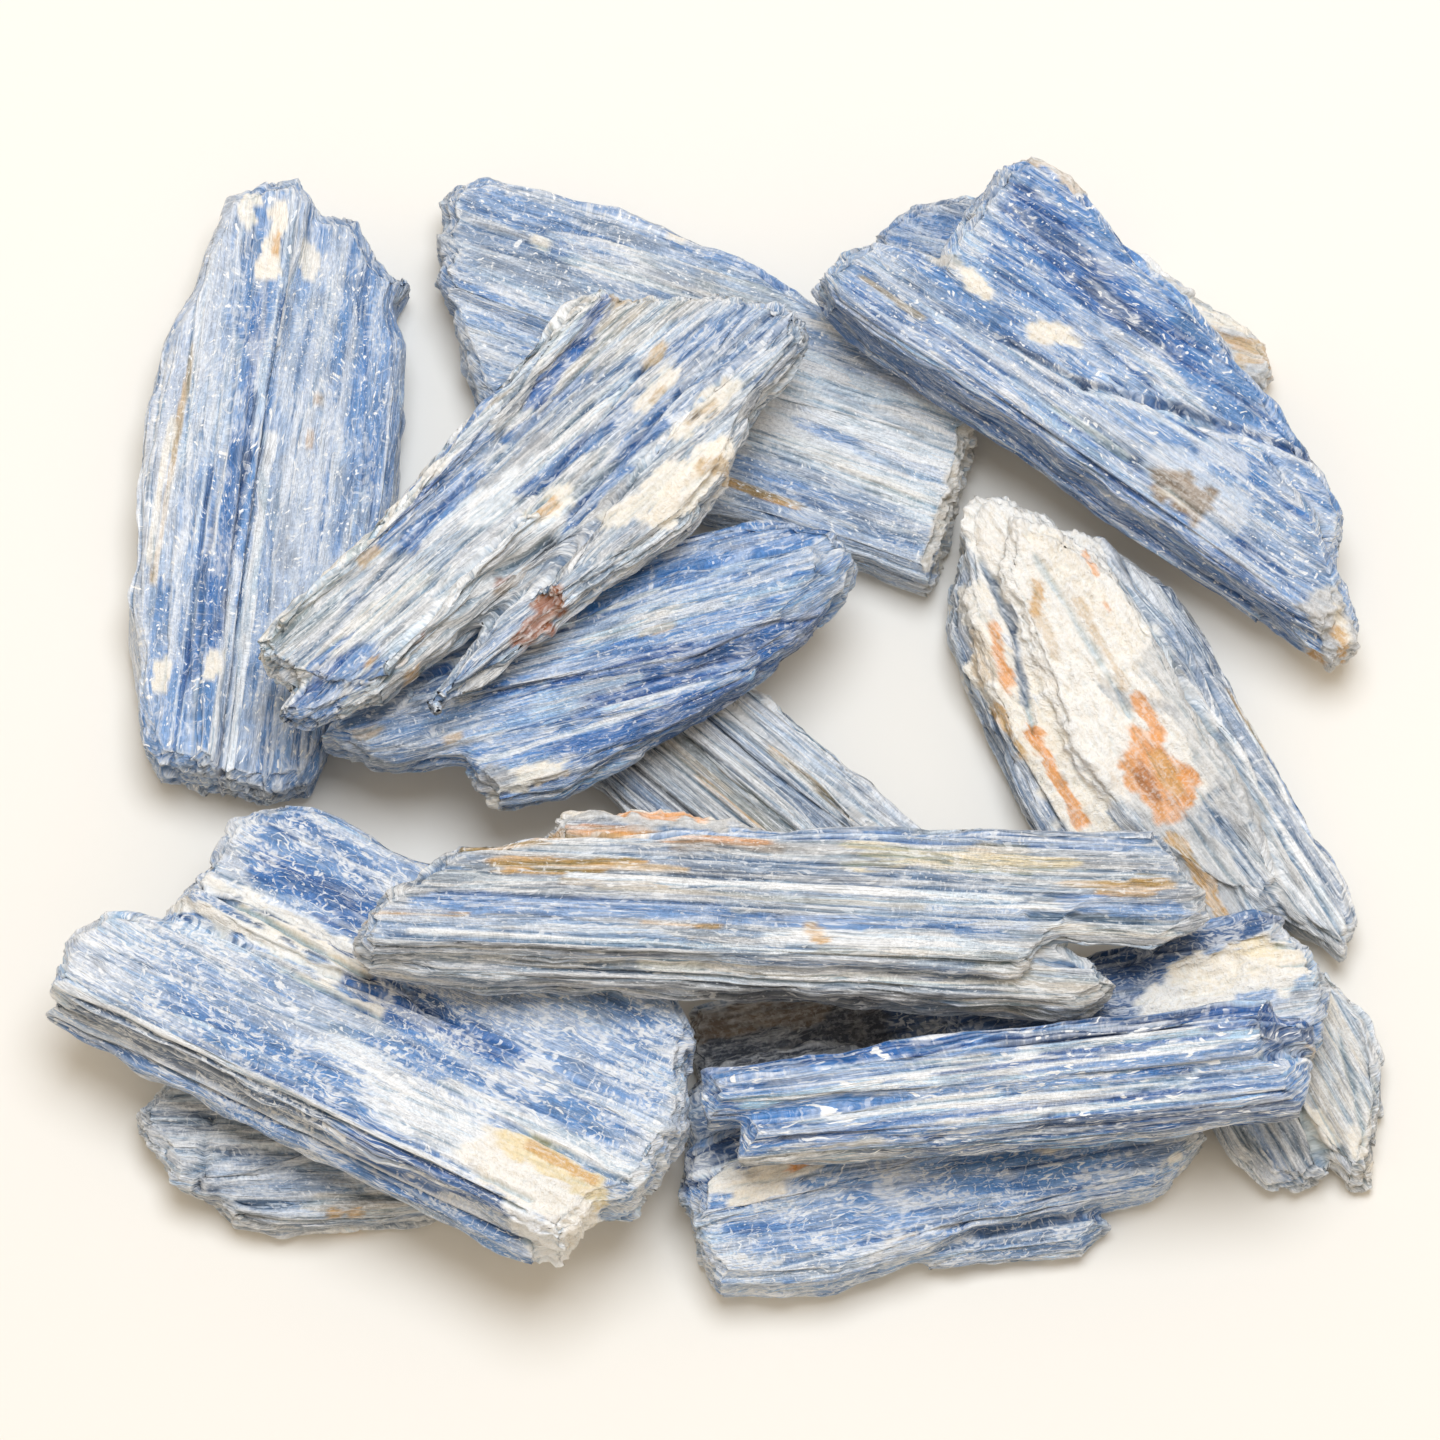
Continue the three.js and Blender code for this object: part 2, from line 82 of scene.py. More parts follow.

# The blades, from the bottom of the heap to the top. heading is the direction of the grain from +X, in
# degrees, and corner the lowest [u, v] of the blade, where u runs along the grain and v across it. base
# lists the tones of its fibres. lath is the length and width of its laths, relief how far their faces stand
# apart, and ragged how uneven its ends are.
# weave says how strong each part of the finish is, in WEAVE's order: threads (laths of their own tone),
# strands (long white lines), dashes (short ones), net (white cracks and frost), flecks_and_glints (white
# flecks, partly painted glints), rich (deeper blue threads), cloud (soft mottling) and calm (how much of
# the blade has hardly any lines).
# A stroke is colour that runs with the grain: (tone, u from, v from, u to, v to, half width, strength).
# A spot is a grown-on patch: (tone, u from, v from, u to, v to, half width, strength, crust), where crust
# is how far it stands out in lumps. A cut is a crease: (u from, v from, u to, v to, half width, depth).
BLADES = {}

BLADES["lower_left_under_blade"] = dict(
    slot="kyanite_grey", heading=0, corner=(-13, -6.8), base=("steel", "grey", "ash", "pale"), relief=1,
    weave=(0.5, 0.6, 0.4, 0.4, 0.5, 0.5, 0.5, 0.4),
    strokes=[
        ("slate", -12, 4, -6, -1, 2.4, 0.45), ("frost", -9, 7, 0, 6, 1, 0.6),
        ("steel", -2, -3, 14, -2, 1.8, 0.6), ("frost", 2, -1, 17, -1.5, 0.6, 0.7),
        ("beige", 4, -4.6, 16, -4, 0.7, 0.7), ("frost", -12, 1, -8, -1.5, 1, 0.6),
    ],
    spots=[("ochre", 4.6, -5.5, 6.6, -5.4, 0.45, 0.8, 0.2), ("slate", -7, -4, -6, -3.4, 0.7, 0.8, 0)],
    cuts=[(-7.5, -4, -6.4, 3, 0.5, 1), (-4, -4.6, 17, -3.4, 0.35, 0.4), (-6, 0, 12, 1, 0.35, 0.4)],
)

BLADES["bottom_blade"] = dict(
    slot="kyanite_blue", heading=9, corner=(-22.6, -4.8), base=("blue", "sky", "sky", "pale"), relief=0.6,
    weave=(0.2, 0.25, 0.6, 0.8, 0.6, 0.7, 0.6, 0.7),
    strokes=[
        ("steel", -22, 20, -4, 20, 5, 0.5), ("navy", -4, 19, 8, 17, 2.6, 0.9),
        ("slate", -20, 13, 20, 13, 3, 0.55), ("navy", -23, 7.4, -15, 7.8, 1.6, 0.9),
        ("white", -21, 6.6, -17, 7.4, 0.3, 0.9), ("steel", 1, -3.8, 15, -3.6, 1.5, 0.7),
        ("frost", -22.6, 2, -18, -3, 1.6, 0.75), ("pale", -18, -3.6, -3, -3, 1, 0.7),
        ("frost", -14, -4.6, -2, -2.6, 0.35, 0.8), ("tan", -5, -2, -2.8, -1.6, 0.25, 0.8),
        ("ash", 20, 2.2, 25, 3.4, 1.3, 0.8), ("sky", -12, -0.5, 0, 0.6, 1.4, 0.6),
        ("blue", -6, 2.6, 12, 3.4, 1.2, 0.7), ("blue", 6, 1.6, 20, 2.4, 1, 0.6),
    ],
    spots=[
        # The dark spot is painted shade where this blade runs into the recess under its neighbours.
        ("dark", -20, 19, -6, 19, 4.2, 0.9, 0.4), ("brown", -18, 21, -8, 21, 1.6, 0.7, 0.6),
        ("cream", -19, 5.2, -11, 5.8, 1.1, 0.95, 0.6), ("cream", -17, 3.6, -13.6, 4.2, 0.9, 0.95, 0.6),
        ("cream", -9, 6.2, -6, 6.2, 0.5, 0.9, 0.5), ("cream", 0, 5.4, 6, 5.6, 0.5, 0.9, 0.4),
        ("cream", 10, 4.2, 15, 4.6, 0.6, 0.9, 0.4), ("cream", 20.6, 1.4, 21.6, 1.6, 0.5, 0.8, 0.4),
        ("orange", -12.4, 5.6, -9, 6.4, 0.35, 0.9, 0.4), ("slate", -11.6, 4.6, -10.6, 4.8, 0.3, 0.8, 0),
    ],
    cuts=[(-2, -1.8, 15, -1.6, 0.5, 0.9), (-20, 2.6, -2, 3.2, 0.35, 0.4), (-15, -2.6, 4, -0.6, 0.35, 0.5)],
)

BLADES["lower_right_blade"] = dict(
    slot="kyanite_grey", heading=-62, corner=(-10, -10.5), base=("ash", "beige", "frost", "ash"),
    relief=1.1, weave=(0.4, 0.5, 0.3, 0.2, 0.5, 0.2, 0.4, 0.4),
    strokes=[
        ("beige", 2, 0, 9, 1.5, 2.2, 0.6), ("steel", -2, -6.5, 11, -6, 2, 0.45),
        ("sky", -4, -7.4, 8, -7.2, 0.6, 0.6), ("frost", -2, -8.6, 9, -8.6, 0.8, 0.6),
        ("grey", 3, 5, 11, 1.5, 0.6, 0.6), ("cream", -6, 3, 6, 2.4, 1.4, 0.5),
    ],
    spots=[("cream", 4.6, -2.6, 8, -2.2, 0.8, 0.9, 0.5), ("cream", 9, 0.4, 11, 0, 0.8, 0.8, 0.6)],
    cuts=[(-2, -3.2, 12, -3.4, 0.5, 0.8), (0, 3.4, 10, 0.6, 0.4, 0.6), (0, -6.6, 10, -6.2, 0.3, 0.5)],
)

BLADES["slanting_grey_blade"] = dict(
    slot="kyanite_grey", heading=-41, corner=(-21, -9.6), base=("steel", "grey", "ash", "frost"),
    relief=1.1, lath=(40, 1.5), weave=(0.7, 0.9, 0.2, 0, 0.3, 0.3, 0.2, 0.1),
    strokes=[
        ("steel", -21, 6.6, 21, 6.6, 0.9, 0.7), ("frost", -16, 5.4, 12, 5.3, 0.3, 0.9),
        ("white", -16, 7.2, 4, 7.1, 0.25, 0.9), ("ash", -20, 4.4, 20, 4.4, 0.45, 0.8),
        ("tan", -2, 3.5, 8, 3.6, 0.4, 0.9), ("steel", -20, 1.8, 20, 1.6, 0.9, 0.8),
        ("white", -14, 0.4, 14, 0.2, 0.3, 0.9), ("beige", -20, -1.5, 20, -1.6, 0.9, 0.9),
        ("ochre", -6, -2.4, 8, -2.5, 0.28, 0.8), ("ash", -20, -3.8, 20, -3.8, 0.6, 0.8),
        # The dark stroke is painted shade in the crevice along a cut.
        ("dark", -20, -5.4, 20, -5.4, 0.25, 0.8), ("slate", -20, -7.4, 20, -7.4, 1.6, 0.7),
        ("pale", -14, -6.4, 8, -6.4, 0.3, 0.8),
    ],
    spots=[("white", -7.2, 8, -6, 7.8, 0.7, 0.95, 0.8)],
    cuts=[
        (-20, 5, 20, 5, 0.25, 0.6), (-20, 2.8, 20, 2.8, 0.25, 0.6), (-20, -0.6, 20, -0.6, 0.3, 0.8),
        (-20, -2.9, 20, -2.9, 0.3, 0.7), (-20, -5.3, 20, -5.3, 0.3, 0.8),
    ],
)

BLADES["left_blade"] = dict(
    slot="kyanite_pale", heading=84, corner=(-28.8, -11.8), base=("sky", "sky", "pale", "pale"), relief=0.5,
    weave=(0.2, 0.25, 0.3, 0.45, 1, 0.5, 0.5, 0.85),
    strokes=[
        ("sky", -28, 6, -6, 6, 2.8, 0.5), ("frost", 4, 9, 24, 7, 2.4, 0.6),
        ("frost", -20, 10, 4, 10.5, 1, 0.6), ("blue", -22, 3.4, 22, 2.8, 1.5, 0.75),
        ("deep", -15, 3, 16, 2.4, 0.8, 0.6), ("deep", -20, 4.4, -4, 4.2, 0.5, 0.5),
        ("navy", -12, 2.1, 8, 1.9, 0.3, 0.7), ("navy", -28, 0.9, 6, 0.6, 0.32, 0.85),
        ("white", -28, 0, 4, -0.1, 0.3, 0.9), ("white", -26, 1.7, -8, 1.5, 0.2, 0.7),
        ("sky", -28, -2.6, -18, -2.4, 1.6, 0.6), ("blue", -28, -6.5, -23, -6.5, 2, 0.6),
        ("frost", -8, -3.5, 8, -3.4, 2, 0.5), ("sky", -16, -8, 10, -8.6, 1.8, 0.5),
        ("blue", 8, -6.4, 22, -6.4, 1.2, 0.5), ("tan", -10, 9, 12, 8.2, 0.25, 0.85),
        ("cream", -8, 9.6, 4, 9.2, 0.35, 0.8), ("slate", -29.5, 2, -29.5, -6, 0.9, 0.7),
        ("sky", 24, 4, 28, 3.6, 1.6, 0.6),
    ],
    spots=[
        ("cream", -19.8, 7, -18.2, 7, 0.9, 0.95, 0.5), ("cream", -18.8, 2.6, -17.2, 2.6, 0.7, 0.95, 0.5),
        ("cream", 20, 2.4, 26, 1.8, 0.9, 0.95, 0.5), ("ochre", 21.6, 1.9, 23.2, 1.7, 0.4, 0.85, 0.2),
        ("cream", 20, -1.6, 22.4, -1.4, 0.9, 0.85, 0.4), ("cream", 25.4, 4.8, 26.6, 4.6, 0.8, 0.95, 0.3),
        ("ochre", 4, -3.5, 4.8, -3.5, 0.35, 0.5, 0), ("ochre", 8, -3.8, 8.5, -3.8, 0.35, 0.5, 0),
    ],
    cuts=[(-28, 0.6, 12, 0.3, 0.4, 1.1), (-28, 5.2, 8, 5.2, 0.35, 0.5), (8, 1, 27, 0.4, 0.4, 0.6)],
)

BLADES["upper_back_blade"] = dict(
    slot="kyanite_pale", heading=-20, corner=(-28.3, -12.2), base=("sky", "steel", "pale", "ash"),
    relief=0.55, weave=(0.2, 0.25, 0.5, 0.4, 0.9, 0.5, 0.4, 0.75),
    strokes=[
        ("blue", -16, 12, 4, 11.6, 0.7, 0.7), ("steel", -26, 4, -8, 6, 3.6, 0.5),
        ("sky", -25, 9, -12, 8, 1.5, 0.6), ("sky", -24, 0, -12, -3, 1.6, 0.6),
        ("frost", -20, 2, -12, 1, 0.9, 0.6), ("ash", 8, 0, 25, -1, 6, 0.6),
        ("white", 10, 0, 25, -1, 5.6, 0.7), ("sky", 10, -1, 22, -2, 0.6, 0.8),
        ("steel", 8, -5, 20, -6, 0.6, 0.7), ("steel", 12, 3, 22, 1, 0.6, 0.6),
        ("pale", 15, -9.6, 23, -10.4, 0.9, 0.7), ("white", 15, 2, 24, -2, 2.6, 0.6),
        ("cream", 10, -3.4, 22, -4.4, 0.7, 0.6), ("ochre", 5, -8.6, 12, -8.6, 0.35, 0.9),
        ("cream", -14, 6.2, -2, 7.4, 0.6, 0.6),
    ],
    spots=[
        ("cream", -18.6, 7, -17.6, 7, 0.5, 0.9, 0.5), ("cream", -7.6, 12, -6.4, 12, 0.4, 0.8, 0.5),
        ("beige", 24.6, 4, 25.4, -10, 0.8, 0.8, 0.6),
    ],
    cuts=[(4, 1.5, 25, 0.8, 0.4, 0.5), (2, -4, 25, -4.5, 0.4, 0.5), (-24, 6.5, 0, 7, 0.4, 0.4)],
)

BLADES["hidden_back_blade"] = dict(
    slot="kyanite_grey", heading=-19, corner=(-19.6, -7.5), base=("blue", "steel", "sky"), relief=0.8,
    weave=(0.5, 0.5, 0.4, 0.3, 0.4, 0.6, 0.4, 0.3),
    strokes=[("slate", -18, 3, -8, 5, 2.2, 0.5), ("blue", -18, 1, -6, 4, 1.2, 0.7)],
    spots=[
        ("ash", 7, 1, 20, 0, 4.2, 0.95, 0.6), ("ochre", 13, 0.8, 19, 0.4, 1.1, 0.7, 0.4),
        ("cream", 10, 2.6, 15, 2.2, 0.9, 0.8, 0.6), ("tan", 16, -1, 18, 1.4, 0.9, 0.8, 0.4),
        ("white", 5, 5.6, 9, 5.8, 0.8, 0.9, 0.5),
    ],
)

BLADES["quartz_blade"] = dict(
    slot="quartz_crust", heading=-58, corner=(-28, -13.6), base=("steel", "ash", "frost"), relief=0.9,
    weave=(0.6, 0.8, 0.3, 0.2, 0.5, 0.3, 0.4, 0.2),
    strokes=[
        ("steel", -5, 7.8, 27, 6.4, 1.8, 0.75), ("sky", 8, 8.4, 24, 7.4, 0.5, 0.7),
        ("slate", -12, 9.2, 4, 9.2, 0.8, 0.7), ("white", 0, 6, 24, 4.8, 0.3, 0.9),
        ("white", 2, 8, 22, 7, 0.2, 0.8), ("ash", 6, 2.4, 22, 2, 1.6, 0.7),
        ("steel", 8, 0.6, 20, 0.8, 0.6, 0.6), ("steel", -8, -12.6, 6, -12.8, 1, 0.85),
        ("slate", -14, 9.2, -8, 9.8, 1, 0.8), ("tan", 0, 8.5, 5, 8.4, 0.3, 0.8),
        ("pale", -28, -1.4, -26, 0.5, 1.4, 0.7),
    ],
    spots=[
        ("quartz", -25, 0.4, 2, -0.6, 5.4, 0.98, 0.9), ("ash", 4, -2.4, 15, -3, 2.6, 0.8, 0.5),
        ("ash", -6, 3.6, 10, 3.4, 1.6, 0.7, 0.5), ("cream", -20, 1.6, -8, 2.4, 1.4, 0.6, 1),
        ("quartz", -18, -4, 0, -6, 2.6, 0.9, 0.9), ("cream", -14, -8.6, 6, -9.6, 2.2, 0.95, 0.9),
        ("cream", -20, -7, -12, -8.6, 1.4, 0.8, 0.7), ("grey", -6, -1.6, -1, 2.4, 0.7, 0.5, 0.6),
        ("slate", -22, -4.4, -15, -5.5, 0.3, 0.7, 0.2), ("slate", -15, -5.5, -9, -8, 0.35, 0.8, 0.2),
        ("tan", -15, -3, -11, -3.6, 0.5, 0.5, 0.8), ("tan", -14, 0.6, -5, 0, 0.5, 0.6, 0.8),
        ("orange", -17.4, 3.9, -15, 3.4, 0.35, 0.8, 0.6),
        ("orange", -12.3, 2.5, -11.6, 2.5, 0.35, 0.7, 0.6), ("orange", 1.4, -1.8, 5.2, -2, 2.3, 0.9, 0.6),
        ("ochre", 2, -0.8, 5.4, -1, 0.9, 0.6, 0.6), ("rust", 1.6, -2.6, 4.6, -3.2, 0.6, 0.5, 0.6),
        ("orange", -3.6, 0.6, 0, 0.4, 0.7, 0.85, 0.8), ("orange", 5, 0.4, 6.4, -0.4, 0.7, 0.85, 0.8),
        ("ochre", -17, -1.6, -15, -3.2, 0.4, 0.8, 0.6), ("orange", -16, -6.8, -11, -8.6, 0.5, 0.9, 0.6),
        ("orange", -6, -9, 3, -9.8, 0.6, 0.95, 0.6), ("ochre", -10, -10.8, -5, -11, 0.5, 0.85, 0.5),
        ("ochre", 9, -3.6, 17, -3.6, 0.6, 0.9, 0.3), ("tan", -17, -8.6, -13, -9.6, 0.8, 0.6, 0.6),
    ],
    cuts=[
        (-22, -4.4, -15, -5.5, 0.4, 0.6), (-15, -5.5, -6, -9, 0.4, 0.8), (-19, -0.4, -3, -0.8, 0.6, 0.5),
        (-16, 5.6, 24, 4.4, 0.35, 0.8), (6, 0.4, 24, 1.4, 0.35, 0.6), (8, -1.6, 22, -1, 0.3, 0.5),
    ],
)

BLADES["fan_blade"] = dict(
    slot="kyanite_blue", heading=8, corner=(-25, -7.6), base=("blue", "sky", "pale"), relief=0.8,
    weave=(0.4, 0.3, 0.6, 0.6, 0.4, 0.8, 0.3, 0.3),
    strokes=[
        ("navy", -14, 2.4, 4, 5.6, 2.6, 0.92), ("blue", -6, 5.4, 4, 6, 0.6, 0.8),
        ("navy", -24, 0, -8, 0.4, 3, 0.8), ("ash", 6.6, -3, 9.6, -0.5, 1.2, 0.7),
        ("frost", 6.2, 1.2, 9.4, 1.4, 0.5, 0.9), ("frost", 6, 3.4, 8.6, 3.4, 0.8, 0.9),
        ("steel", 6.2, 2.2, 9.4, 2.3, 0.3, 0.8), ("steel", 6.2, 0.2, 9.6, 0.3, 0.3, 0.8),
    ],
    spots=[
        ("quartz", -5.6, -1.2, 6, 0.4, 1.9, 1, 0.9), ("cream", -2.2, 0.6, 5.6, 1.5, 1.7, 1, 0.9),
        ("yellow", 2.6, 2.4, 5.4, 2.2, 0.5, 0.5, 0.9),
    ],
    cuts=[
        (5.8, 2.4, 9, 2.2, 0.25, 0.7), (5.8, 0.6, 9.6, 0.4, 0.25, 0.7), (5.8, -1.4, 9.6, -1.6, 0.25, 0.7),
    ],
)

BLADES["front_blue_blade"] = dict(
    slot="kyanite_blue", heading=5.5, corner=(-26.6, -5), base=("deep", "blue", "sky"), relief=0.6,
    lath=(34, 1.8), ragged=0.35, weave=(0.6, 0.9, 1, 0.2, 0.4, 1, 0.2, 0.2),
    strokes=[
        ("blue", -27, 3.6, 0, 4.2, 1.6, 0.75), ("sky", -26, 2.6, -10, 3, 0.6, 0.7),
        ("deep", -26, 4.8, -4, 4.8, 0.7, 0.8), ("navy", 1, 4.7, 25, 4.9, 1, 0.95),
        ("navy", 4, 3.8, 16, 3.9, 0.4, 0.9), ("white", -8, 1.5, 25, 1.7, 1.5, 0.95),
        ("deep", -6, 1.9, 12, 2.2, 0.22, 0.9), ("blue", 2, 1.2, 22, 1.3, 0.2, 0.9),
        ("white", -22, 1, -5, 2.4, 0.6, 0.95), ("white", 2, 3.1, 22, 3.3, 0.45, 0.98),
        ("deep", 4, 2.6, 19, 2.7, 0.25, 0.9), ("blue", 2, 0.5, 20, 0.8, 0.3, 0.9),
        ("blue", -20, -0.2, -2, 0.2, 0.8, 0.8), ("white", -18, -0.7, 23, -0.9, 0.7, 0.98),
        ("deep", -12, -1.7, 14, -1.9, 0.5, 0.85), ("white", -8, -2.4, 22, -2.5, 0.4, 0.95),
        ("navy", 4, -3.6, 25, -3.7, 0.9, 0.9), ("blue", -24, -1.6, -8, -2, 1, 0.7),
        ("beige", -24, -4, -13, -4.2, 0.8, 0.85), ("slate", -12, -4.2, 6, -4.4, 0.5, 0.7),
        ("sky", 22, -1.5, 27, -1.8, 2, 0.7), ("deep", 20, 4.2, 26, 4.2, 1.2, 0.9),
        ("blue", 20, 1.6, 27, 1.2, 0.7, 0.7), ("navy", 25, 2.4, 28, 2.6, 1.3, 0.9),
    ],
    spots=[("tan", 26.8, 1.2, 27.2, 1.2, 0.5, 0.8, 0.4)],
    cuts=[
        (-26, 2.4, 0, 2.6, 0.35, 0.7), (0, 3.8, 25, 4, 0.3, 0.7), (-22, -0.4, 22, -0.6, 0.3, 0.6),
        (-20, -2.6, 24, -2.8, 0.3, 0.7), (22.6, 0.6, 27, 0.9, 0.35, 0.6),
    ],
)

BLADES["centre_blue_blade"] = dict(
    slot="kyanite_blue", heading=15.5, corner=(-25.5, -11), base=("blue", "blue", "sky", "pale"),
    relief=0.8, weave=(0.4, 0.7, 0.5, 0.2, 0.6, 1, 0.4, 0.4),
    strokes=[
        ("blue", 2, 6.5, 20, 6.5, 2.2, 0.7), ("slate", -20, 1.2, -6, 0.4, 1.3, 0.6),
        ("steel", -24, -3, -13, -2.4, 1.6, 0.75), ("sky", -8, -5, 4, -4.8, 1.2, 0.6),
        ("frost", -4, 1.6, 16, 1.6, 1, 0.6), ("cream", 0, 1.4, 8, 1.6, 0.35, 0.7),
        ("deep", 0, -3.6, 20, -3.2, 1.9, 0.95), ("navy", 8, -4, 16, -3.4, 0.5, 0.7),
        ("deep", -3, -7.6, 12, -7, 1.1, 0.9), ("blue", -12, 4.6, 2, 5.2, 0.8, 0.7),
        ("frost", 3, 0.7, 20, 0.8, 0.3, 0.85), ("frost", -6, -3.2, 3, -3.2, 0.5, 0.85),
        ("white", 0, -5.2, 9, -5.4, 0.3, 0.8), ("white", -12, -6.6, 4, -6.2, 0.25, 0.8),
        ("cream", -12, 3.2, 8, 3.8, 0.25, 0.7), ("sky", 8, 3.2, 22, 3, 0.7, 0.7),
        ("pale", 22, 3, 26, 4, 1.2, 0.8), ("pale", 18, -1.2, 25, 1, 0.8, 0.7),
    ],
    spots=[
        ("cream", -12.2, -9, -6.4, -9.2, 1.1, 0.95, 0.6), ("grey", -13.6, -8, -11.4, -8.4, 1.2, 0.9, 0.5),
        ("tan", -22, -1, -20.6, -1, 0.5, 0.7, 0.2), ("tan", -8, -10, -5, -9.9, 0.35, 0.8, 0.3),
        ("tan", -14.6, -4, -13.6, -4, 0.35, 0.8, 0.3), ("tan", 4.4, 0.3, 7.4, 0.3, 0.3, 0.7, 0.1),
    ],
    cuts=[(-22, 2.6, 14, 3.4, 0.3, 0.5), (-14, -1.4, 20, -2.4, 0.3, 0.5), (-10, -4, 16, -5.6, 0.3, 0.5)],
)

BLADES["top_right_blade"] = dict(
    slot="kyanite_blue", heading=-34, corner=(-27.5, -6.3), base=("blue", "blue", "sky", "pale"),
    relief=0.65, weave=(0.4, 0.6, 0.6, 0.25, 0.9, 0.9, 0.4, 0.4),
    strokes=[
        ("blue", -18, 12.6, 10, 8, 3, 0.85), ("deep", -16, 11.6, 1, 8.6, 1.9, 0.95),
        ("navy", -6, 9.4, 0.5, 8.6, 0.7, 0.8), ("navy", -14, 11.4, -10, 11.2, 0.8, 0.7),
        ("deep", 2, 9.6, 16, 7.2, 0.6, 0.8), ("blue", 8, 8.6, 22, 6.2, 0.8, 0.7),
        ("frost", 1.5, 7.2, 6.5, 5.6, 1.3, 0.9), ("pale", -19, 13, -17.4, 5, 1.2, 0.75),
        ("steel", -24, 0, -4, 0.4, 1.4, 0.6), ("blue", -14, 1.6, -2, 1, 0.9, 0.7),
        ("frost", -8, 0.6, 10, 3.4, 0.35, 0.8), ("frost", -16, -1.2, 4, -0.8, 0.35, 0.8),
        ("frost", -8, -3.4, 10, -3.2, 0.35, 0.8), ("slate", 0, -1.6, 7, -1.4, 0.5, 0.7),
        ("cream", -3, -2, 4, -1.8, 0.3, 0.8), ("blue", -20, -4, 12, -4.2, 0.5, 0.8),
        ("tan", -24, -2, -18, -2, 0.25, 0.8), ("pale", 14, 0.8, 27, -1.6, 1.6, 0.6),
        ("frost", 17, 4.6, 22, 4.2, 0.9, 0.6), ("deep", -24, -5.4, 24, -5.6, 0.9, 0.6),
        ("pale", -27, -3, -25, 0, 1.4, 0.8), ("navy", -10, 0.8, -2, 1.6, 0.25, 0.8),
        ("navy", -2, 1.6, 6, 5, 0.3, 0.6), ("navy", 6, 5, 19, 8.6, 0.3, 0.6),
        ("frost", -10, 0.1, -2, 0.8, 0.35, 0.85), ("frost", -2, 0.8, 6, 4.1, 0.45, 0.9),
        ("frost", 6, 4.1, 19, 7.6, 0.4, 0.85),
    ],
    spots=[
        ("cream", -16.2, 3.6, -14.2, 3.2, 0.8, 0.95, 0.9), ("cream", -8.4, 2.8, -6.4, 3.4, 1.1, 0.95, 0.9),
        ("beige", -20, 3.4, -18, 3.8, 0.6, 0.8, 0.4), ("tan", -18, 16.4, -12, 16.4, 0.6, 0.8, 0.4),
        ("white", -3, 15.3, 0, 14.6, 0.8, 0.8, 0.5), ("frost", 8.4, -0.6, 14, -1.3, 2.4, 0.75, 0.3),
        ("frost", 10, 2.6, 13, 3, 1, 0.7, 0.3), ("brown", 9.6, -1.5, 11.2, -1.8, 2, 0.98, 0.5),
        ("beige", 9.4, -2.4, 11, -2.6, 0.5, 0.8, 0.5), ("ash", 27.5, -3, 31, -5, 2.2, 0.9, 0.9),
        ("cream", 28.4, -2.6, 30, -4, 0.8, 0.9, 0.9), ("ochre", 28.8, -3.6, 30.4, -4.6, 0.6, 0.8, 0.8),
        ("ochre", 28.4, -6.4, 29.6, -6.4, 0.5, 0.8, 0.8),
    ],
    cuts=[
        (-11, 0.4, -2, 1.2, 0.4, 0.8), (-2, 1.3, 6, 4.7, 0.5, 0.8), (6, 4.7, 19, 8.3, 0.5, 0.8),
        (-14, -1.8, 22, -2.4, 0.35, 0.5), (-22, -4.2, 22, -4.4, 0.35, 0.6),
    ],
)

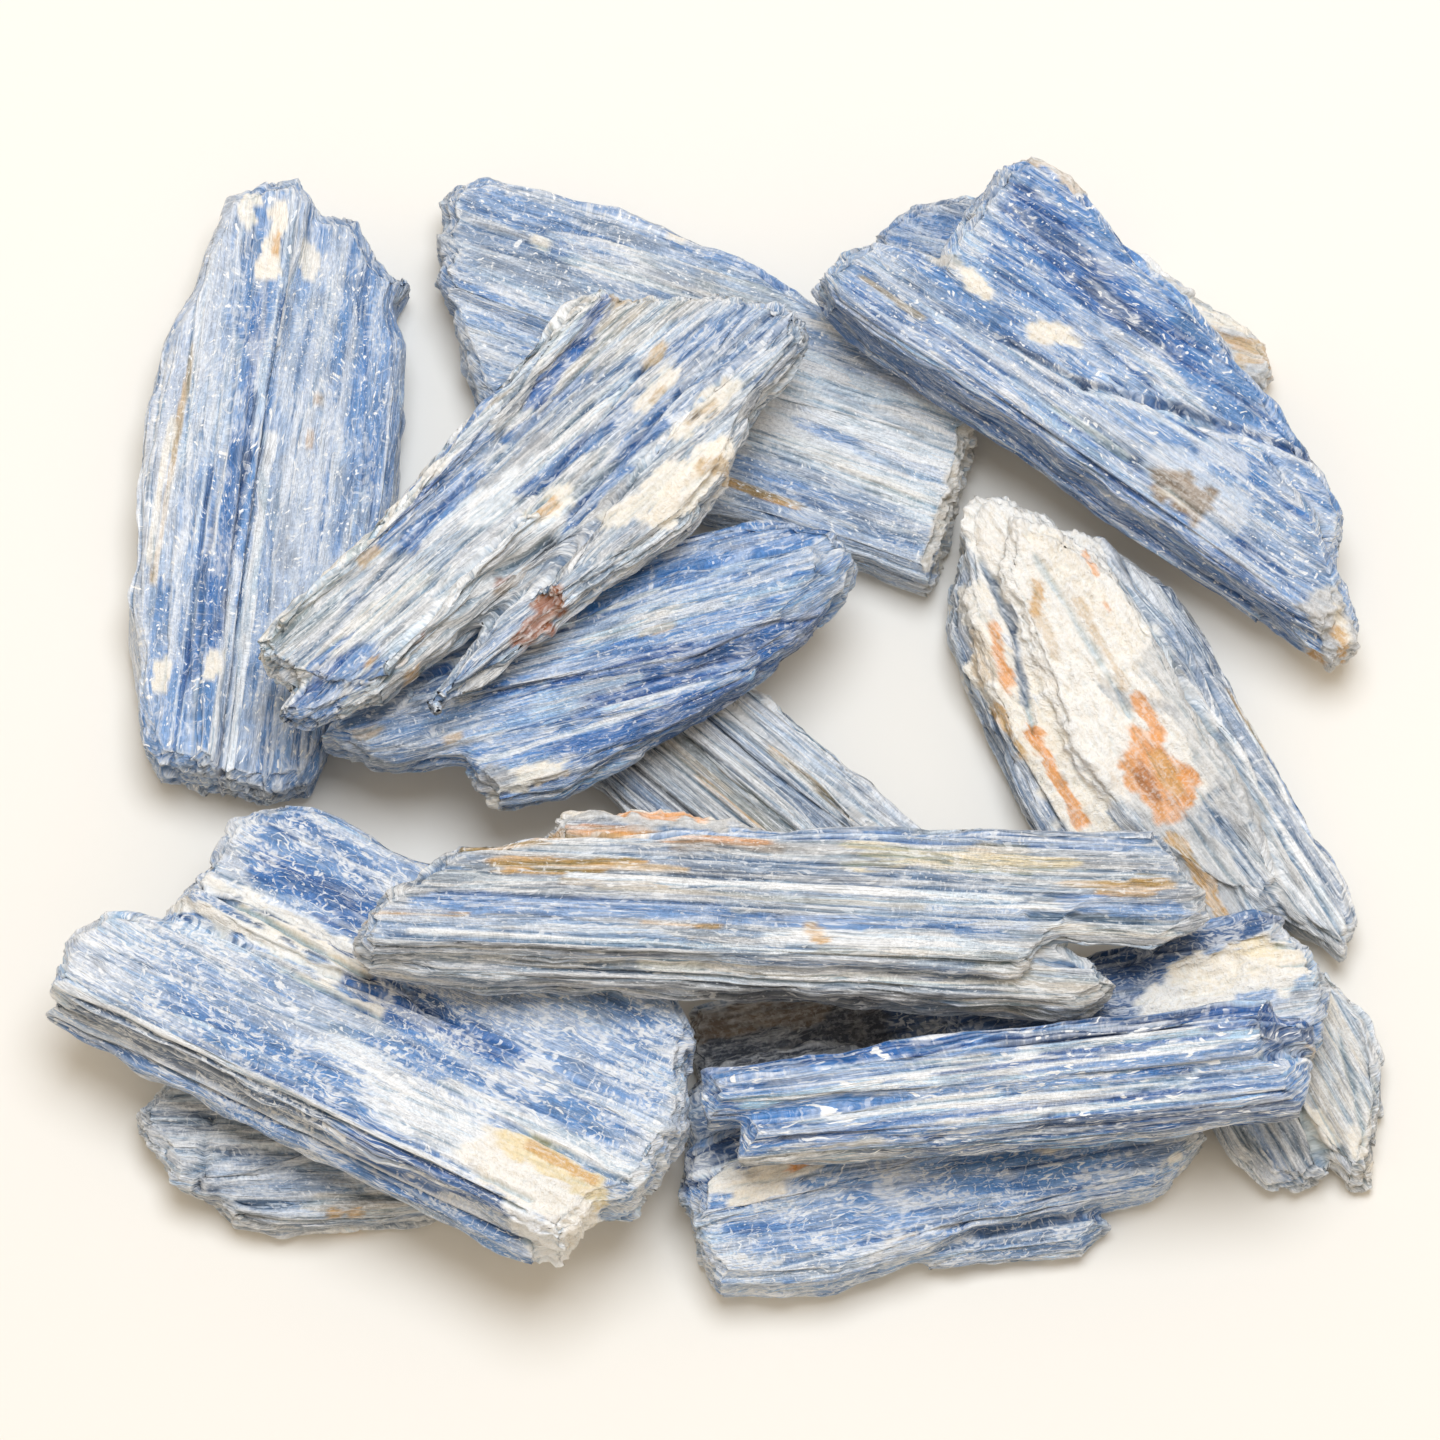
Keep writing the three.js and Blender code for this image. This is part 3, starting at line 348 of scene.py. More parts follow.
BLADES["lower_left_blade"] = dict(
    slot="kyanite_pale", heading=-27, corner=(-27.5, -12), base=("sky", "sky", "pale", "frost"), relief=0.5,
    weave=(0.25, 0.35, 0.8, 0.8, 0.7, 0.7, 0.55, 0.7),
    strokes=[
        ("blue", -14, 11, -3, 10, 3.8, 0.8), ("deep", -13, 9.4, -4, 8.4, 1.6, 0.8),
        ("frost", -20, 13, -18, 6, 1.6, 0.85), ("deep", -4, 3.4, 10, 2.6, 1.7, 0.9),
        ("slate", -17, 5, -3, 4.4, 0.28, 0.9), ("slate", -13, 3.5, -2, 3, 0.28, 0.9),
        ("slate", -20, 1.6, -6, 1.2, 0.25, 0.8), ("navy", -5, 4.4, 4, 3.6, 0.9, 0.8),
        ("sky", 10, 8, 25, 8, 4, 0.5), ("frost", 27, 1, 27, 9, 1.3, 0.9),
        ("blue", 6, -0.4, 20, 0.6, 1.4, 0.7), ("blue", -18, 0.6, -8, -1.6, 1, 0.6),
        ("frost", -25, -2, -14, 0, 1.6, 0.8), ("frost", -24, -4.6, -4, -3.4, 1.8, 0.6),
        ("blue", -16, -6.2, 2, -5.6, 0.9, 0.7), ("sky", -22, -2, -10, -5, 1.4, 0.5),
        ("white", 0, -3.4, 12, -4, 1, 0.7), ("blue", -18, -8, 6, -8.2, 0.9, 0.8),
        ("white", 6, -5.6, 14, -6.8, 2, 0.85), ("white", 10, -2, 28, -2.2, 0.9, 0.85),
        ("slate", -26, -10, 0, -10, 0.35, 0.8), ("white", -26, -9.3, 10, -9.3, 0.3, 0.85),
        ("blue", -24, -11.2, 22, -11.4, 0.5, 0.8), ("frost", -26, -10.6, 16, -10.7, 0.25, 0.85),
        ("deep", 4, -10, 22, -10.2, 0.35, 0.85), ("frost", -28, -6, -26, -2, 1.6, 0.9),
    ],
    spots=[
        ("quartz", -19, 5.6, -5, 5.5, 0.75, 1, 0.6), ("cream", -15, 4.1, -3, 3.8, 0.6, 1, 0.6),
        ("quartz", -22, 2.6, -5, 2.3, 0.6, 0.98, 0.6), ("cream", -9, 0.9, 0, 1.2, 0.4, 0.9, 0.4),
        ("cream", 14.6, -4.6, 17, -6.8, 1, 0.95, 0.6), ("quartz", 16, -6.4, 24, -7.6, 2.8, 1, 0.9),
        ("yellow", 16, -4.2, 25, -4.8, 1, 0.9, 0.7), ("ochre", 18, -3.9, 24, -4.3, 0.4, 0.8, 0.4),
        ("white", 20, -10, 24, -10.6, 1.2, 0.9, 0.8),
    ],
    cuts=[
        (-20, 4.6, -2, 3.4, 0.45, 1.1), (-20, 1.6, 0, 0.6, 0.35, 0.7), (14, -2.9, 27, -3.1, 0.4, 1.2),
        (-26, -8.6, 20, -8.4, 0.3, 0.5), (-26, -9.8, 20, -9.6, 0.3, 0.7), (-26, -11, 22, -11, 0.3, 0.7),
    ],
)

BLADES["centre_blade"] = dict(
    slot="kyanite_pale", heading=42, corner=(-30.4, -10.4), base=("steel", "grey", "ash", "frost"),
    relief=1.15, lath=(11, 1.4), ragged=1.3, weave=(0.5, 0.8, 0.6, 0.25, 0.6, 0.5, 0.5, 0.3),
    strokes=[
        ("frost", -28, 2.4, -6, 3.4, 3, 0.55), ("sky", 16, 0, 28, 0, 3.4, 0.5),
        ("sky", 16, 4, 26, 2, 1.6, 0.5), ("cream", -28, 6.4, -5, 8.6, 1.1, 0.8),
        ("beige", 2, 10.2, 16, 11.8, 0.8, 0.7), ("blue", -14, 6.2, 0, 7.4, 0.55, 0.9),
        ("deep", -10, 6.6, -5, 7, 0.3, 0.85), ("blue", -8, 9.2, 8, 10.4, 0.35, 0.85),
        ("beige", 10, 7.4, 19, 8.4, 0.9, 0.8), ("cream", 9, 9.6, 18, 11.6, 0.3, 0.8),
        ("blue", -18, 4.2, -3, 4.9, 0.7, 0.9), ("sky", -12, 5.6, -2, 6, 0.4, 0.8),
        ("blue", 1, 1.6, 12, 1.9, 0.7, 0.85), ("blue", 3, 6.4, 14, 6.2, 0.5, 0.85),
        ("steel", 5, 5, 18, 4.6, 0.7, 0.8), ("white", 1, 2.8, 14, 3.2, 0.4, 0.9),
        ("frost", 18, 5, 27, 3, 0.6, 0.8), ("beige", 14, 6.4, 22, 6, 0.7, 0.7),
        ("frost", 16, -2.4, 28, -3, 0.7, 0.8), ("blue", 3, -3.2, 12, -1.8, 0.8, 0.85),
        ("blue", 10, -0.6, 17, 0.4, 0.5, 0.8), ("white", 10, -2.6, 18, -2, 0.4, 0.8),
        ("cream", -26, 1.2, -14, 1.6, 1, 0.7), ("white", -12, -1.5, 0, -1.3, 0.9, 0.98),
        ("white", -20, -0.4, -10, 0.2, 0.5, 0.85), ("ash", -25, -3, -6, -2.8, 1.6, 0.8),
        ("white", -24, -1.6, -12, -1.4, 0.5, 0.8), ("beige", -24, 4.6, -14, 4.4, 0.8, 0.6),
        ("blue", -31, -1, -24, -0.8, 1.8, 0.9), ("deep", -28, 0.4, -23, 0.8, 0.45, 0.8),
        ("steel", -20, -7.4, -8, -7, 1.4, 0.75), ("sky", -18, -8, -10, -7.6, 0.6, 0.6),
        ("frost", -4, -8, -1, -8, 1, 0.8), ("deep", 7.4, 7.4, 17.6, 10.3, 0.6, 1),
    ],
    spots=[
        ("grey", -2, 4.2, 4.6, 4.1, 0.9, 0.8, 0.5), ("white", -4, 2.6, 0, 3.4, 1.3, 0.8, 0.4),
        ("tan", 19, 10, 22, 8.6, 0.7, 0.8, 0.6), ("tan", -15, 5.8, -13.4, 5.8, 0.35, 0.8, 0.5),
        ("tan", 16.8, 3.8, 18.6, 3.9, 0.4, 0.9, 0.6), ("cream", 14, 1, 17.6, 1.4, 0.8, 0.9, 0.6),
        ("tan", 14.4, 0.6, 16, 0.9, 0.35, 0.85, 0.4), ("cream", -0.4, -0.8, 2.2, -1, 1, 0.95, 0.6),
        ("ochre", 0, -0.9, 1.4, -1, 0.5, 0.85, 0.4), ("cream", 4, -6.2, 14, -6.6, 1.4, 0.9, 0.7),
        ("cream", 8, -8.4, 15, -7.4, 1.4, 0.95, 0.8), ("tan", 13.4, -7.4, 15, -8.6, 0.6, 0.8, 0.8),
        ("cream", 14, -3.4, 20, -3.2, 1.1, 0.9, 0.7), ("tan", 15.4, -3.2, 18, -3.4, 0.4, 0.7, 0.5),
        ("brown", 16, -3.3, 16.4, -3.3, 0.25, 0.9, 0), ("brown", 17, -4.2, 17.4, -4.2, 0.25, 0.9, 0),
        # The dark spot is painted shade in a cut.
        ("dark", -4.4, -3.9, -1.2, -3.6, 0.55, 0.9, 0), ("brown", -8, -4, -4.6, -4.2, 0.4, 0.8, 0.2),
        ("rust", -8.2, -8.2, -5.2, -8, 1.1, 1, 0.7), ("rust", -6.6, -9.2, -6.2, -6.8, 0.7, 1, 0.7),
        ("ochre", -19, -4.5, -17.4, -4.4, 0.3, 0.9, 0.4),
        ("rust", -16.2, -3.6, -15.6, -3.2, 0.25, 0.9, 0.4),
        ("rust", -7.4, -3.5, -6.4, -3.5, 0.25, 0.8, 0.3), ("ochre", -21, -1.6, -19.6, -1.4, 0.3, 0.8, 0.3),
    ],
    cuts=[
        (-12, -2.6, -1, -3, 0.5, 1), (-5, -4, -1, -3.7, 0.5, 0.6), (-20, 3.6, -2, 6, 0.3, 0.8),
        (0, 5.6, 14, 7.4, 0.3, 0.8), (1, 0.8, 16, 3.6, 0.35, 0.9), (2, -2.6, 20, 0.2, 0.35, 0.9),
        (-24, -4.6, -6, -5.2, 0.4, 0.9), (4, -4.6, 20, -1.6, 0.3, 0.8), (6, 9.2, 18, 12, 0.25, 0.6),
        (-28, 5.4, -8, 7.2, 0.3, 0.7), (-12, -0.4, 1, -0.2, 0.3, 0.9), (-26, 0.2, -10, 0.6, 0.3, 0.6),
    ],
)

BLADES["long_front_blade"] = dict(
    slot="kyanite_grey", heading=-0.7, corner=(-37.5, -7.2), base=("steel", "pale", "grey", "ash"),
    relief=0.6, lath=(44, 1.8), ragged=1.3, weave=(0.6, 0.65, 0.5, 0.05, 0.5, 0.4, 0.3, 0.4),
    strokes=[
        ("steel", 0, 8.4, 34, 9, 1.1, 0.8), ("slate", 16, 7.8, 22, 8, 0.4, 0.7),
        ("sky", -8, 7, 30, 7.6, 0.5, 0.7), ("ash", -26, 5.2, 10, 5.4, 0.7, 0.7),
        ("steel", -14, 3.8, 16, 3.6, 1.1, 0.85), ("slate", -10, 3, 8, 3, 0.35, 0.8),
        ("ochre", -22, 6.6, -13, 6.8, 0.5, 0.85), ("orange", -19, 7.2, -12, 7.3, 0.3, 0.8),
        ("orange", -11, 6, -2, 6.1, 0.35, 0.8), ("brown", -9, 5.4, -1, 5.5, 0.4, 0.6),
        ("ochre", -27, 4.6, -22, 5.4, 0.5, 0.9), ("ochre", -24, 3.2, -14, 3.4, 0.7, 0.95),
        ("tan", -14, 3.2, -9, 3.2, 0.4, 0.85), ("tan", -19, 1.6, -10, 1.8, 0.3, 0.7),
        ("yellow", 8, 5.2, 24, 5.2, 1, 0.75), ("tan", 17, 6.5, 21, 6.5, 0.4, 0.9),
        ("ochre", 25, 3.8, 33, 4, 0.6, 0.95), ("ochre", 28, 2.9, 32, 3, 0.3, 0.8),
        ("white", -18, 2.2, 20, 2, 0.35, 0.95), ("white", 0, 1.2, 24, 1.3, 0.25, 0.9),
        ("beige", -16, 1.2, 12, 0.8, 0.3, 0.8), ("blue", -29, -0.5, -6, -0.5, 0.6, 0.8),
        ("sky", -30, -1.2, 6, -1, 0.7, 0.8), ("sky", 2, -0.8, 22, -0.8, 0.6, 0.7),
        ("ochre", -37, -2.1, -28, -2, 0.3, 0.85), ("ochre", -12, -1.9, -6, -1.9, 0.25, 0.8),
        ("pale", -36, -2.8, -12, -3, 0.9, 0.8), ("white", -32, -3.6, 6, -3.8, 0.25, 0.95),
        ("sky", 26, 1.8, 34, 1.8, 0.7, 0.8), ("white", 0, -2.6, 22, -2.6, 0.6, 0.85),
        # The dark strokes here are painted shade in crevices along the cuts.
        ("beige", 4, -3.6, 24, -3.8, 0.5, 0.8), ("dark", -28, -4.6, -6, -4.8, 0.3, 0.85),
        ("cream", -30, -5.2, -14, -5.3, 0.22, 0.95), ("grey", -34, -6, 22, -6, 1, 0.8),
        ("cream", -12, -5.4, 16, -5.6, 0.25, 0.9), ("slate", -8, -4.8, 18, -4.9, 0.25, 0.8),
        ("dark", -20, -6.4, 14, -6.5, 0.2, 0.7), ("ash", 24, -1, 35, -1, 1.3, 0.8),
        ("cream", 24, -0.4, 34, -0.6, 0.4, 0.8), ("beige", 22, -5.4, 31, -5.6, 2, 0.85),
    ],
    spots=[
        ("ash", -21, 8.8, -3, 8.8, 1.3, 0.95, 0.7), ("cream", -20, 9.2, -4, 9, 0.7, 0.9, 0.7),
        ("orange", -14, 8.8, -7, 9, 0.55, 0.9, 0.6), ("ochre", 2.4, -1.6, 3.4, -2.6, 0.5, 0.8, 0.2),
        ("slate", 28, -3.2, 32, -3.2, 0.4, 0.8, 0),
    ],
    cuts=[
        (-30, 0.1, 24, 0.2, 0.3, 0.7), (-26, 4.4, 30, 4.4, 0.25, 0.6), (-34, -3.9, 20, -4.2, 0.3, 0.9),
        (-20, 6.6, 30, 7, 0.25, 0.6), (22, 0.6, 35, 0.8, 0.4, 0.9), (24, -3, 34, -2.6, 0.5, 1.2),
        (-30, -5.8, 24, -6, 0.25, 0.6), (-22, 2.7, 26, 2.6, 0.25, 0.5),
    ],
)

# How much red, green and blue the painted shade takes away in cuts, creases and the dark lath seams.
SHADE = np.array([0.55, 0.42, 0.32])

# Tones whose strokes have few white lines over them.
QUIET_TONES = ("navy", "deep", "blue", "dark")

# What the fine streaks multiply a blade's colour by, and the painted shade in the hollows of the quartz
# crust.
GREY_SHADE = (0.46, 0.5, 0.56, 1)
BLUE_SHADE = (0.3, 0.49, 0.72, 1)
RICH_BLUE = (0.46, 0.74, 0.98, 1)
CRUMB_SHADE = (0.91, 0.87, 0.81, 1)

WEAVE = ("threads", "strands", "dashes", "net", "flecks_and_glints", "rich", "cloud", "calm")
DEFAULT_LATH = (24, 2.4)
DEFAULT_RAGGED = 1.0

# A lath's thickness, and a fibre's length, width and thickness, as shares of the lath's length and width.
LATH_THICKNESS = 0.6
FIBRE_SHARE = (0.36, 0.32, 0.26)

# How far long waves and short ripples push the fibres and the laths along the grain, across it and up.
FIBRE_WAVE = (6, 0.6, 0.5)
FIBRE_RIPPLE = (0.6, 0.12, 0.12)
LATH_WAVE = (6, 1.0, 0.7)
LATH_RIPPLE = (0.9, 0.35, 0.35)

# How much each direction adds to the fibres' flat coordinate across the grain.
FIBRE_ACROSS = np.array([0, 0.8, 1.2])

# The salt picks the random numbers. Each blade has its own, and each kind of noise counts on from it. The
# streaks in its material are moved by SALT_STEP times the salt.
FIRST_SALT = 11
BLADE_SALT = 100
SALT_STEP = np.array([3.1, 1.7, 2.3])
SALTS = dict(
    wave=1, streak=4, feather=8, lumps=12, ripple=15, laths=30, fibres=40, threads=50, grit=60,
    swell=70, scallop=75, blunt=80, cloud=90, smudge=94, busy=98,
)


# Repeatable noise

def hashed(cells, salt):
    """A random number from 0 to 1 for each whole-number point, the same every run."""
    mixed = np.full(len(cells), (salt * 2654435761) & 0xFFFFFFFF, np.uint32)
    for axis, prime in enumerate((0x9E3779B1, 0x85EBCA6B, 0xC2B2AE35)):
        mixed ^= cells[:, axis].astype(np.int32).view(np.uint32) * np.uint32(prime)
        mixed = (mixed ^ (mixed >> np.uint32(15))) * np.uint32(0x2C1B3C6D)
        mixed ^= mixed >> np.uint32(12)
    return (mixed & np.uint32(0xFFFFFF)) / float(0x1000000)


def noise(points, salt):
    """Smooth noise from 0 to 1 with one bump for each unit."""
    base = np.floor(points).astype(np.int32)
    part = points - base
    part = part * part * (3 - 2 * part)
    total = np.zeros(len(points))
    for corner in itertools.product((0, 1), repeat=3):
        weight = np.ones(len(points))
        for axis, side in enumerate(corner):
            weight *= part[:, axis] if side else 1 - part[:, axis]
        total += weight * hashed(base + np.array(corner, np.int32), salt)
    return total


def layered_noise(points, salt, layers=3):
    """Noise with finer and finer noise added."""
    total = np.zeros(len(points))
    size = 0
    for layer in range(layers):
        total += noise(points * 2**layer, salt + layer) / 2**layer
        size += 1 / 2**layer
    return total / size


def cells_around(points, salt):
    """The random number of the cell that a point is in, and how far the point is from the cell's border."""
    base = np.floor(points).astype(np.int32)
    nearest = np.full(len(points), np.inf)
    second = np.full(len(points), np.inf)
    owner = np.zeros(len(points))
    for step in itertools.product((-1, 0, 1), repeat=3):
        cell = base + np.array(step, np.int32)
        gap = sum(
            (cell[:, axis] + hashed(cell, salt + axis) - points[:, axis]) ** 2 for axis in range(3)
        )
        closer = gap < nearest
        second = np.where(closer, nearest, np.minimum(second, gap))
        owner = np.where(closer, hashed(cell, salt + 7), owner)
        nearest = np.where(closer, gap, nearest)
    return owner, np.sqrt(second) - np.sqrt(nearest)


def smooth_step(low, high, value):
    part = np.clip((value - low) / (high - low), 0, 1)
    return part * part * (3 - 2 * part)


def linear(tone):
    """A tone in linear light."""
    share = np.array(TONES[tone]) / 255
    return np.where(share <= 0.04045, share / 12.92, ((share + 0.055) / 1.055) ** 2.4)


def paint(tone):
    return (*linear(tone), 1)


# Meshes

def blade_axes(node, heading):
    """The directions along the grain, across it and up from the blade's flat underside."""
    mesh = node.data
    areas = {}
    for polygon in mesh.polygons:
        if polygon.normal.z < -0.9:
            key = tuple(round(part, 2) for part in polygon.normal)
            areas[key] = areas.get(key, 0) + polygon.area
    up = -Vector(max(areas, key=areas.get)).normalized()
    turn = math.radians(heading)
    along = Vector((math.cos(turn), math.sin(turn), 0))
    along = (along - along.dot(up) * up).normalized()
    return np.array([along, up.cross(along), up])


def add_object(name, data):
    item = bpy.data.objects.new(name, data)
    bpy.context.scene.collection.objects.link(item)
    return item


def refined_mesh(name, points, faces):
    """A fine, even mesh of the closed shape that the faces make."""
    rough = bpy.data.meshes.new(name + "_rough")
    rough.from_pydata(points.tolist(), [], faces)
    carrier = add_object(name + "_rough", rough)
    remesh = carrier.modifiers.new("voxels", "REMESH")
    remesh.mode = "VOXEL"
    remesh.voxel_size = VOXEL
    bpy.context.view_layer.update()
    solved = carrier.evaluated_get(bpy.context.evaluated_depsgraph_get())
    fine = bpy.data.meshes.new_from_object(solved)
    fine.name = name
    bpy.data.objects.remove(carrier)
    bpy.data.meshes.remove(rough)
    return fine


def read_points(mesh):
    points = np.zeros(len(mesh.vertices) * 3)
    mesh.vertices.foreach_get("co", points)
    return points.reshape(-1, 3)


def read_normals(mesh):
    normals = np.zeros(len(mesh.vertices) * 3)
    mesh.vertex_normals.foreach_get("vector", normals)
    return normals.reshape(-1, 3)


def write_points(mesh, points):
    mesh.vertices.foreach_set("co", points.astype(np.float32).ravel())
    mesh.update()


def stroke_distance(points, stroke, end_slack):
    """How far each point is from a stroke's centre line, as a share of its half width."""
    u_from, v_from, u_to, v_to, half_width = stroke
    start = np.array([u_from, v_from])
    line = np.array([u_to, v_to]) - start
    arm = points[:, :2] - start
    share = np.clip(arm @ line / max(line @ line, 1e-9), 0, 1)
    gap = arm - share[:, None] * line
    slack = np.where((share <= 0) | (share >= 1), end_slack, 1.0)
    return np.hypot(gap[:, 0] * slack, gap[:, 1]) / half_width


class Grain:
    """The laths and fibres that a blade is made of, as random numbers for each of its points."""

    def __init__(self, points, look, salt):
        self.points = points
        self.salt = salt
        length, width = look.get("lath", DEFAULT_LATH)
        wave = [noise(points * 0.1, salt + SALTS["wave"] + axis) - 0.5 for axis in range(3)]
        wave = np.stack(wave, axis=1)
        ripple = [self.texture("ripple", (0.2, 0.6, 0.6), 3, axis) - 0.5 for axis in range(3)]
        ripple = np.stack(ripple, axis=1)
        self.straight = points + wave * FIBRE_WAVE + ripple * FIBRE_RIPPLE
        warped = points + wave * LATH_WAVE + ripple * LATH_RIPPLE
        size = np.array([length, width, width * LATH_THICKNESS])
        self.lath, gap = cells_around(warped / size, salt + SALTS["laths"])
        self.lath_gap = gap * width
        size = np.array([length, width, width]) * FIBRE_SHARE
        self.fibre, gap = cells_around(self.straight / size, salt + SALTS["fibres"])
        self.fibre_gap = gap * width * FIBRE_SHARE[1]
        streak = self.straight * np.array([0.06, 1.0, 0.8])
        self.streak = layered_noise(streak, salt + SALTS["streak"], 4)
        self.feather = self.texture("feather", (0.16, 1.8, 1.2), 4)
        self.lumps = self.texture("lumps", (0.7, 0.7, 0.7), 4)
        self.cloud = self.texture("cloud", (0.2, 0.42, 0.42), 4)
        self.smudge = self.texture("smudge", (0.45, 0.9, 0.9), 3)
        self.busy = self.texture("busy", (0.05, 0.28, 0.28), 2)

    def texture(self, kind, bumps, layers, step=0):
        """Noise with the given number of bumps for each mm along the grain, across it and up."""
        return layered_noise(self.points * bumps, self.salt + SALTS[kind] + step, layers)


def toward(tint, share, goal):
    """Mixes a share of another colour into each point's tint."""
    return tint + share[:, None] * (goal - tint)


def blade_tint(grain, look, weave):
    """A blade's colour before its finest streaks, how much of it is crust, and where few lines cross it."""
    tones = [linear(tone) for tone in look["base"]]
    steps = range(len(tones))
    cloud = weave["cloud"]
    place = 0.5 + 0.55 * (grain.lath - 0.5) + 0.4 * (grain.fibre - 0.5) + 1.15 * (grain.streak - 0.5)
    place = np.clip(place, 0, 1) * (len(tones) - 1)
    tint = [np.interp(place, steps, [tone[channel] for tone in tones]) for channel in range(3)]
    tint = np.stack(tint, axis=1)
    tint = toward(tint, 0.55 * cloud * smooth_step(0.5, 0.66, grain.cloud), linear("frost"))
    tint = toward(tint, 0.7 * cloud * smooth_step(0.47, 0.34, grain.cloud), tones[0])
    crust = np.zeros(len(place))
    quiet = np.zeros(len(place))
    edge = 2.2 * (grain.feather - 0.5) + 0.8 * (grain.fibre - 0.5) + 0.3 * (grain.lath - 0.5)
    for tone, *stroke, strength in look["strokes"]:
        half_width = stroke[4]
        ragged = edge * min(1, 1.6 / half_width, 0.3 + 1.2 * half_width)
        inside = strength * smooth_step(1.14, 0.86, stroke_distance(grain.points, stroke, 0.4) + ragged)
        tint = toward(tint, inside, linear(tone))
        quiet = quiet * (1 - inside) + inside * (tone in QUIET_TONES)
    tint = toward(tint, 0.3 * cloud * smooth_step(0.54, 0.7, grain.smudge), linear("white"))
    tint *= 1 - 0.25 * smooth_step(0.46, 0.3, grain.smudge)[:, None]
    edge = 2.6 * (grain.lumps - 0.5) + 0.3 * (grain.fibre - 0.5)
    for tone, *stroke, strength, lumpiness in look.get("spots", []):
        ragged = edge * min(1, 1.2 / stroke[4])
        inside = smooth_step(1.1, 0.9, stroke_distance(grain.points, stroke, 0.9) + ragged)
        tint = toward(tint, strength * inside, linear(tone))
        crust += inside * (lumpiness - crust)
    # Painted shade along each cut, darker the deeper the cut.
    for *stroke, cut in look.get("cuts", []):
        line = stroke_distance(grain.points, stroke, 0.5) + 1.6 * (grain.feather - 0.5)
        tint *= 1 - min(cut, 1) * smooth_step(0.7, 0.3, line)[:, None] * SHADE
    # Along the lath seams, some are painted white and the rest get painted shade.
    seam = smooth_step(0.32, 0.1, grain.lath_gap) * (1 - crust)
    pale_seam = seam * (grain.fibre > 0.55)
    tint = toward(tint, 0.4 * pale_seam, linear("white"))
    tint *= 1 - 0.6 * (seam - pale_seam)[:, None] * SHADE
    return tint, crust, quiet


def roughen(grain, normals, look, crust):
    """Moves a blade's points: laths at their own levels, grooves, broken ends and lumpy crust."""
    points = grain.points
    end = np.abs(normals[:, 0])
    threads = grain.straight * np.array([0.2, 2.4, 2.4])
    threads = layered_noise(threads, grain.salt + SALTS["threads"], 2)
    height = 0.6 * (grain.lath - 0.7) + 0.22 * (grain.fibre - 0.6) + 0.17 * (threads - 0.6)
    height -= 0.3 * smooth_step(0.5, 0.0, grain.lath_gap)
    height -= 0.07 * smooth_step(0.25, 0.0, grain.fibre_gap)
    height *= 1 - 0.75 * end
    lumps = 1.6 * (grain.lumps - 0.5) + 1.1 * (grain.texture("grit", (1.5, 1.5, 1.5), 2) - 0.56)
    height = height * look["relief"] * (1 - 0.7 * crust) + crust * lumps
    swell = grain.texture("swell", (0.16, 0.3, 0.3), 2) - 0.56
    scallop = grain.texture("scallop", (0.35, 0.6, 0.6), 3) - 0.54
    height += 1.1 * swell + 0.9 * scallop * (np.abs(normals[:, 1]) + 0.4 * end)
    for *stroke, cut in look.get("cuts", []):
        line = stroke_distance(points, stroke, 0.5) + 1.0 * (grain.feather - 0.5)
        height -= cut * (1 - smooth_step(0.0, 1.0, line)) * np.clip(normals[:, 2], 0, 1)
    moved = points + normals * height[:, None]
    blunt = grain.texture("blunt", (0.3, 0.6, 0.6), 3) - 0.62
    torn = 0.6 * (grain.lath - 0.8) + 0.3 * (grain.fibre - 0.7) + 0.9 * blunt
    moved[:, 0] += look.get("ragged", DEFAULT_RAGGED) * normals[:, 0] * torn
    return moved


def bend(mesh, points):
    """How sharply the surface turns at each point, per mm: above 0 on ridges and below 0 in creases."""
    pairs = np.zeros(len(mesh.edges) * 2, np.int32)
    mesh.edges.foreach_get("vertices", pairs)
    pairs = pairs.reshape(-1, 2)
    start, stop = np.concatenate([pairs, pairs[:, ::-1]]).T
    step = points[stop] - points[start]
    length_squared = np.maximum(np.sum(step * step, axis=1), 1e-4)
    fall = -np.sum(step * read_normals(mesh)[start], axis=1) / length_squared
    count = np.bincount(start, minlength=len(points))
    turn = np.bincount(start, fall, len(points)) / count
    around = np.bincount(start, turn[stop], len(points)) / count
    return (turn + around) / 2


def set_attribute(mesh, name, kind, field, values):
    attribute = mesh.attributes.new(name, kind, "POINT")
    attribute.data.foreach_set(field, values.astype(np.float32).ravel())


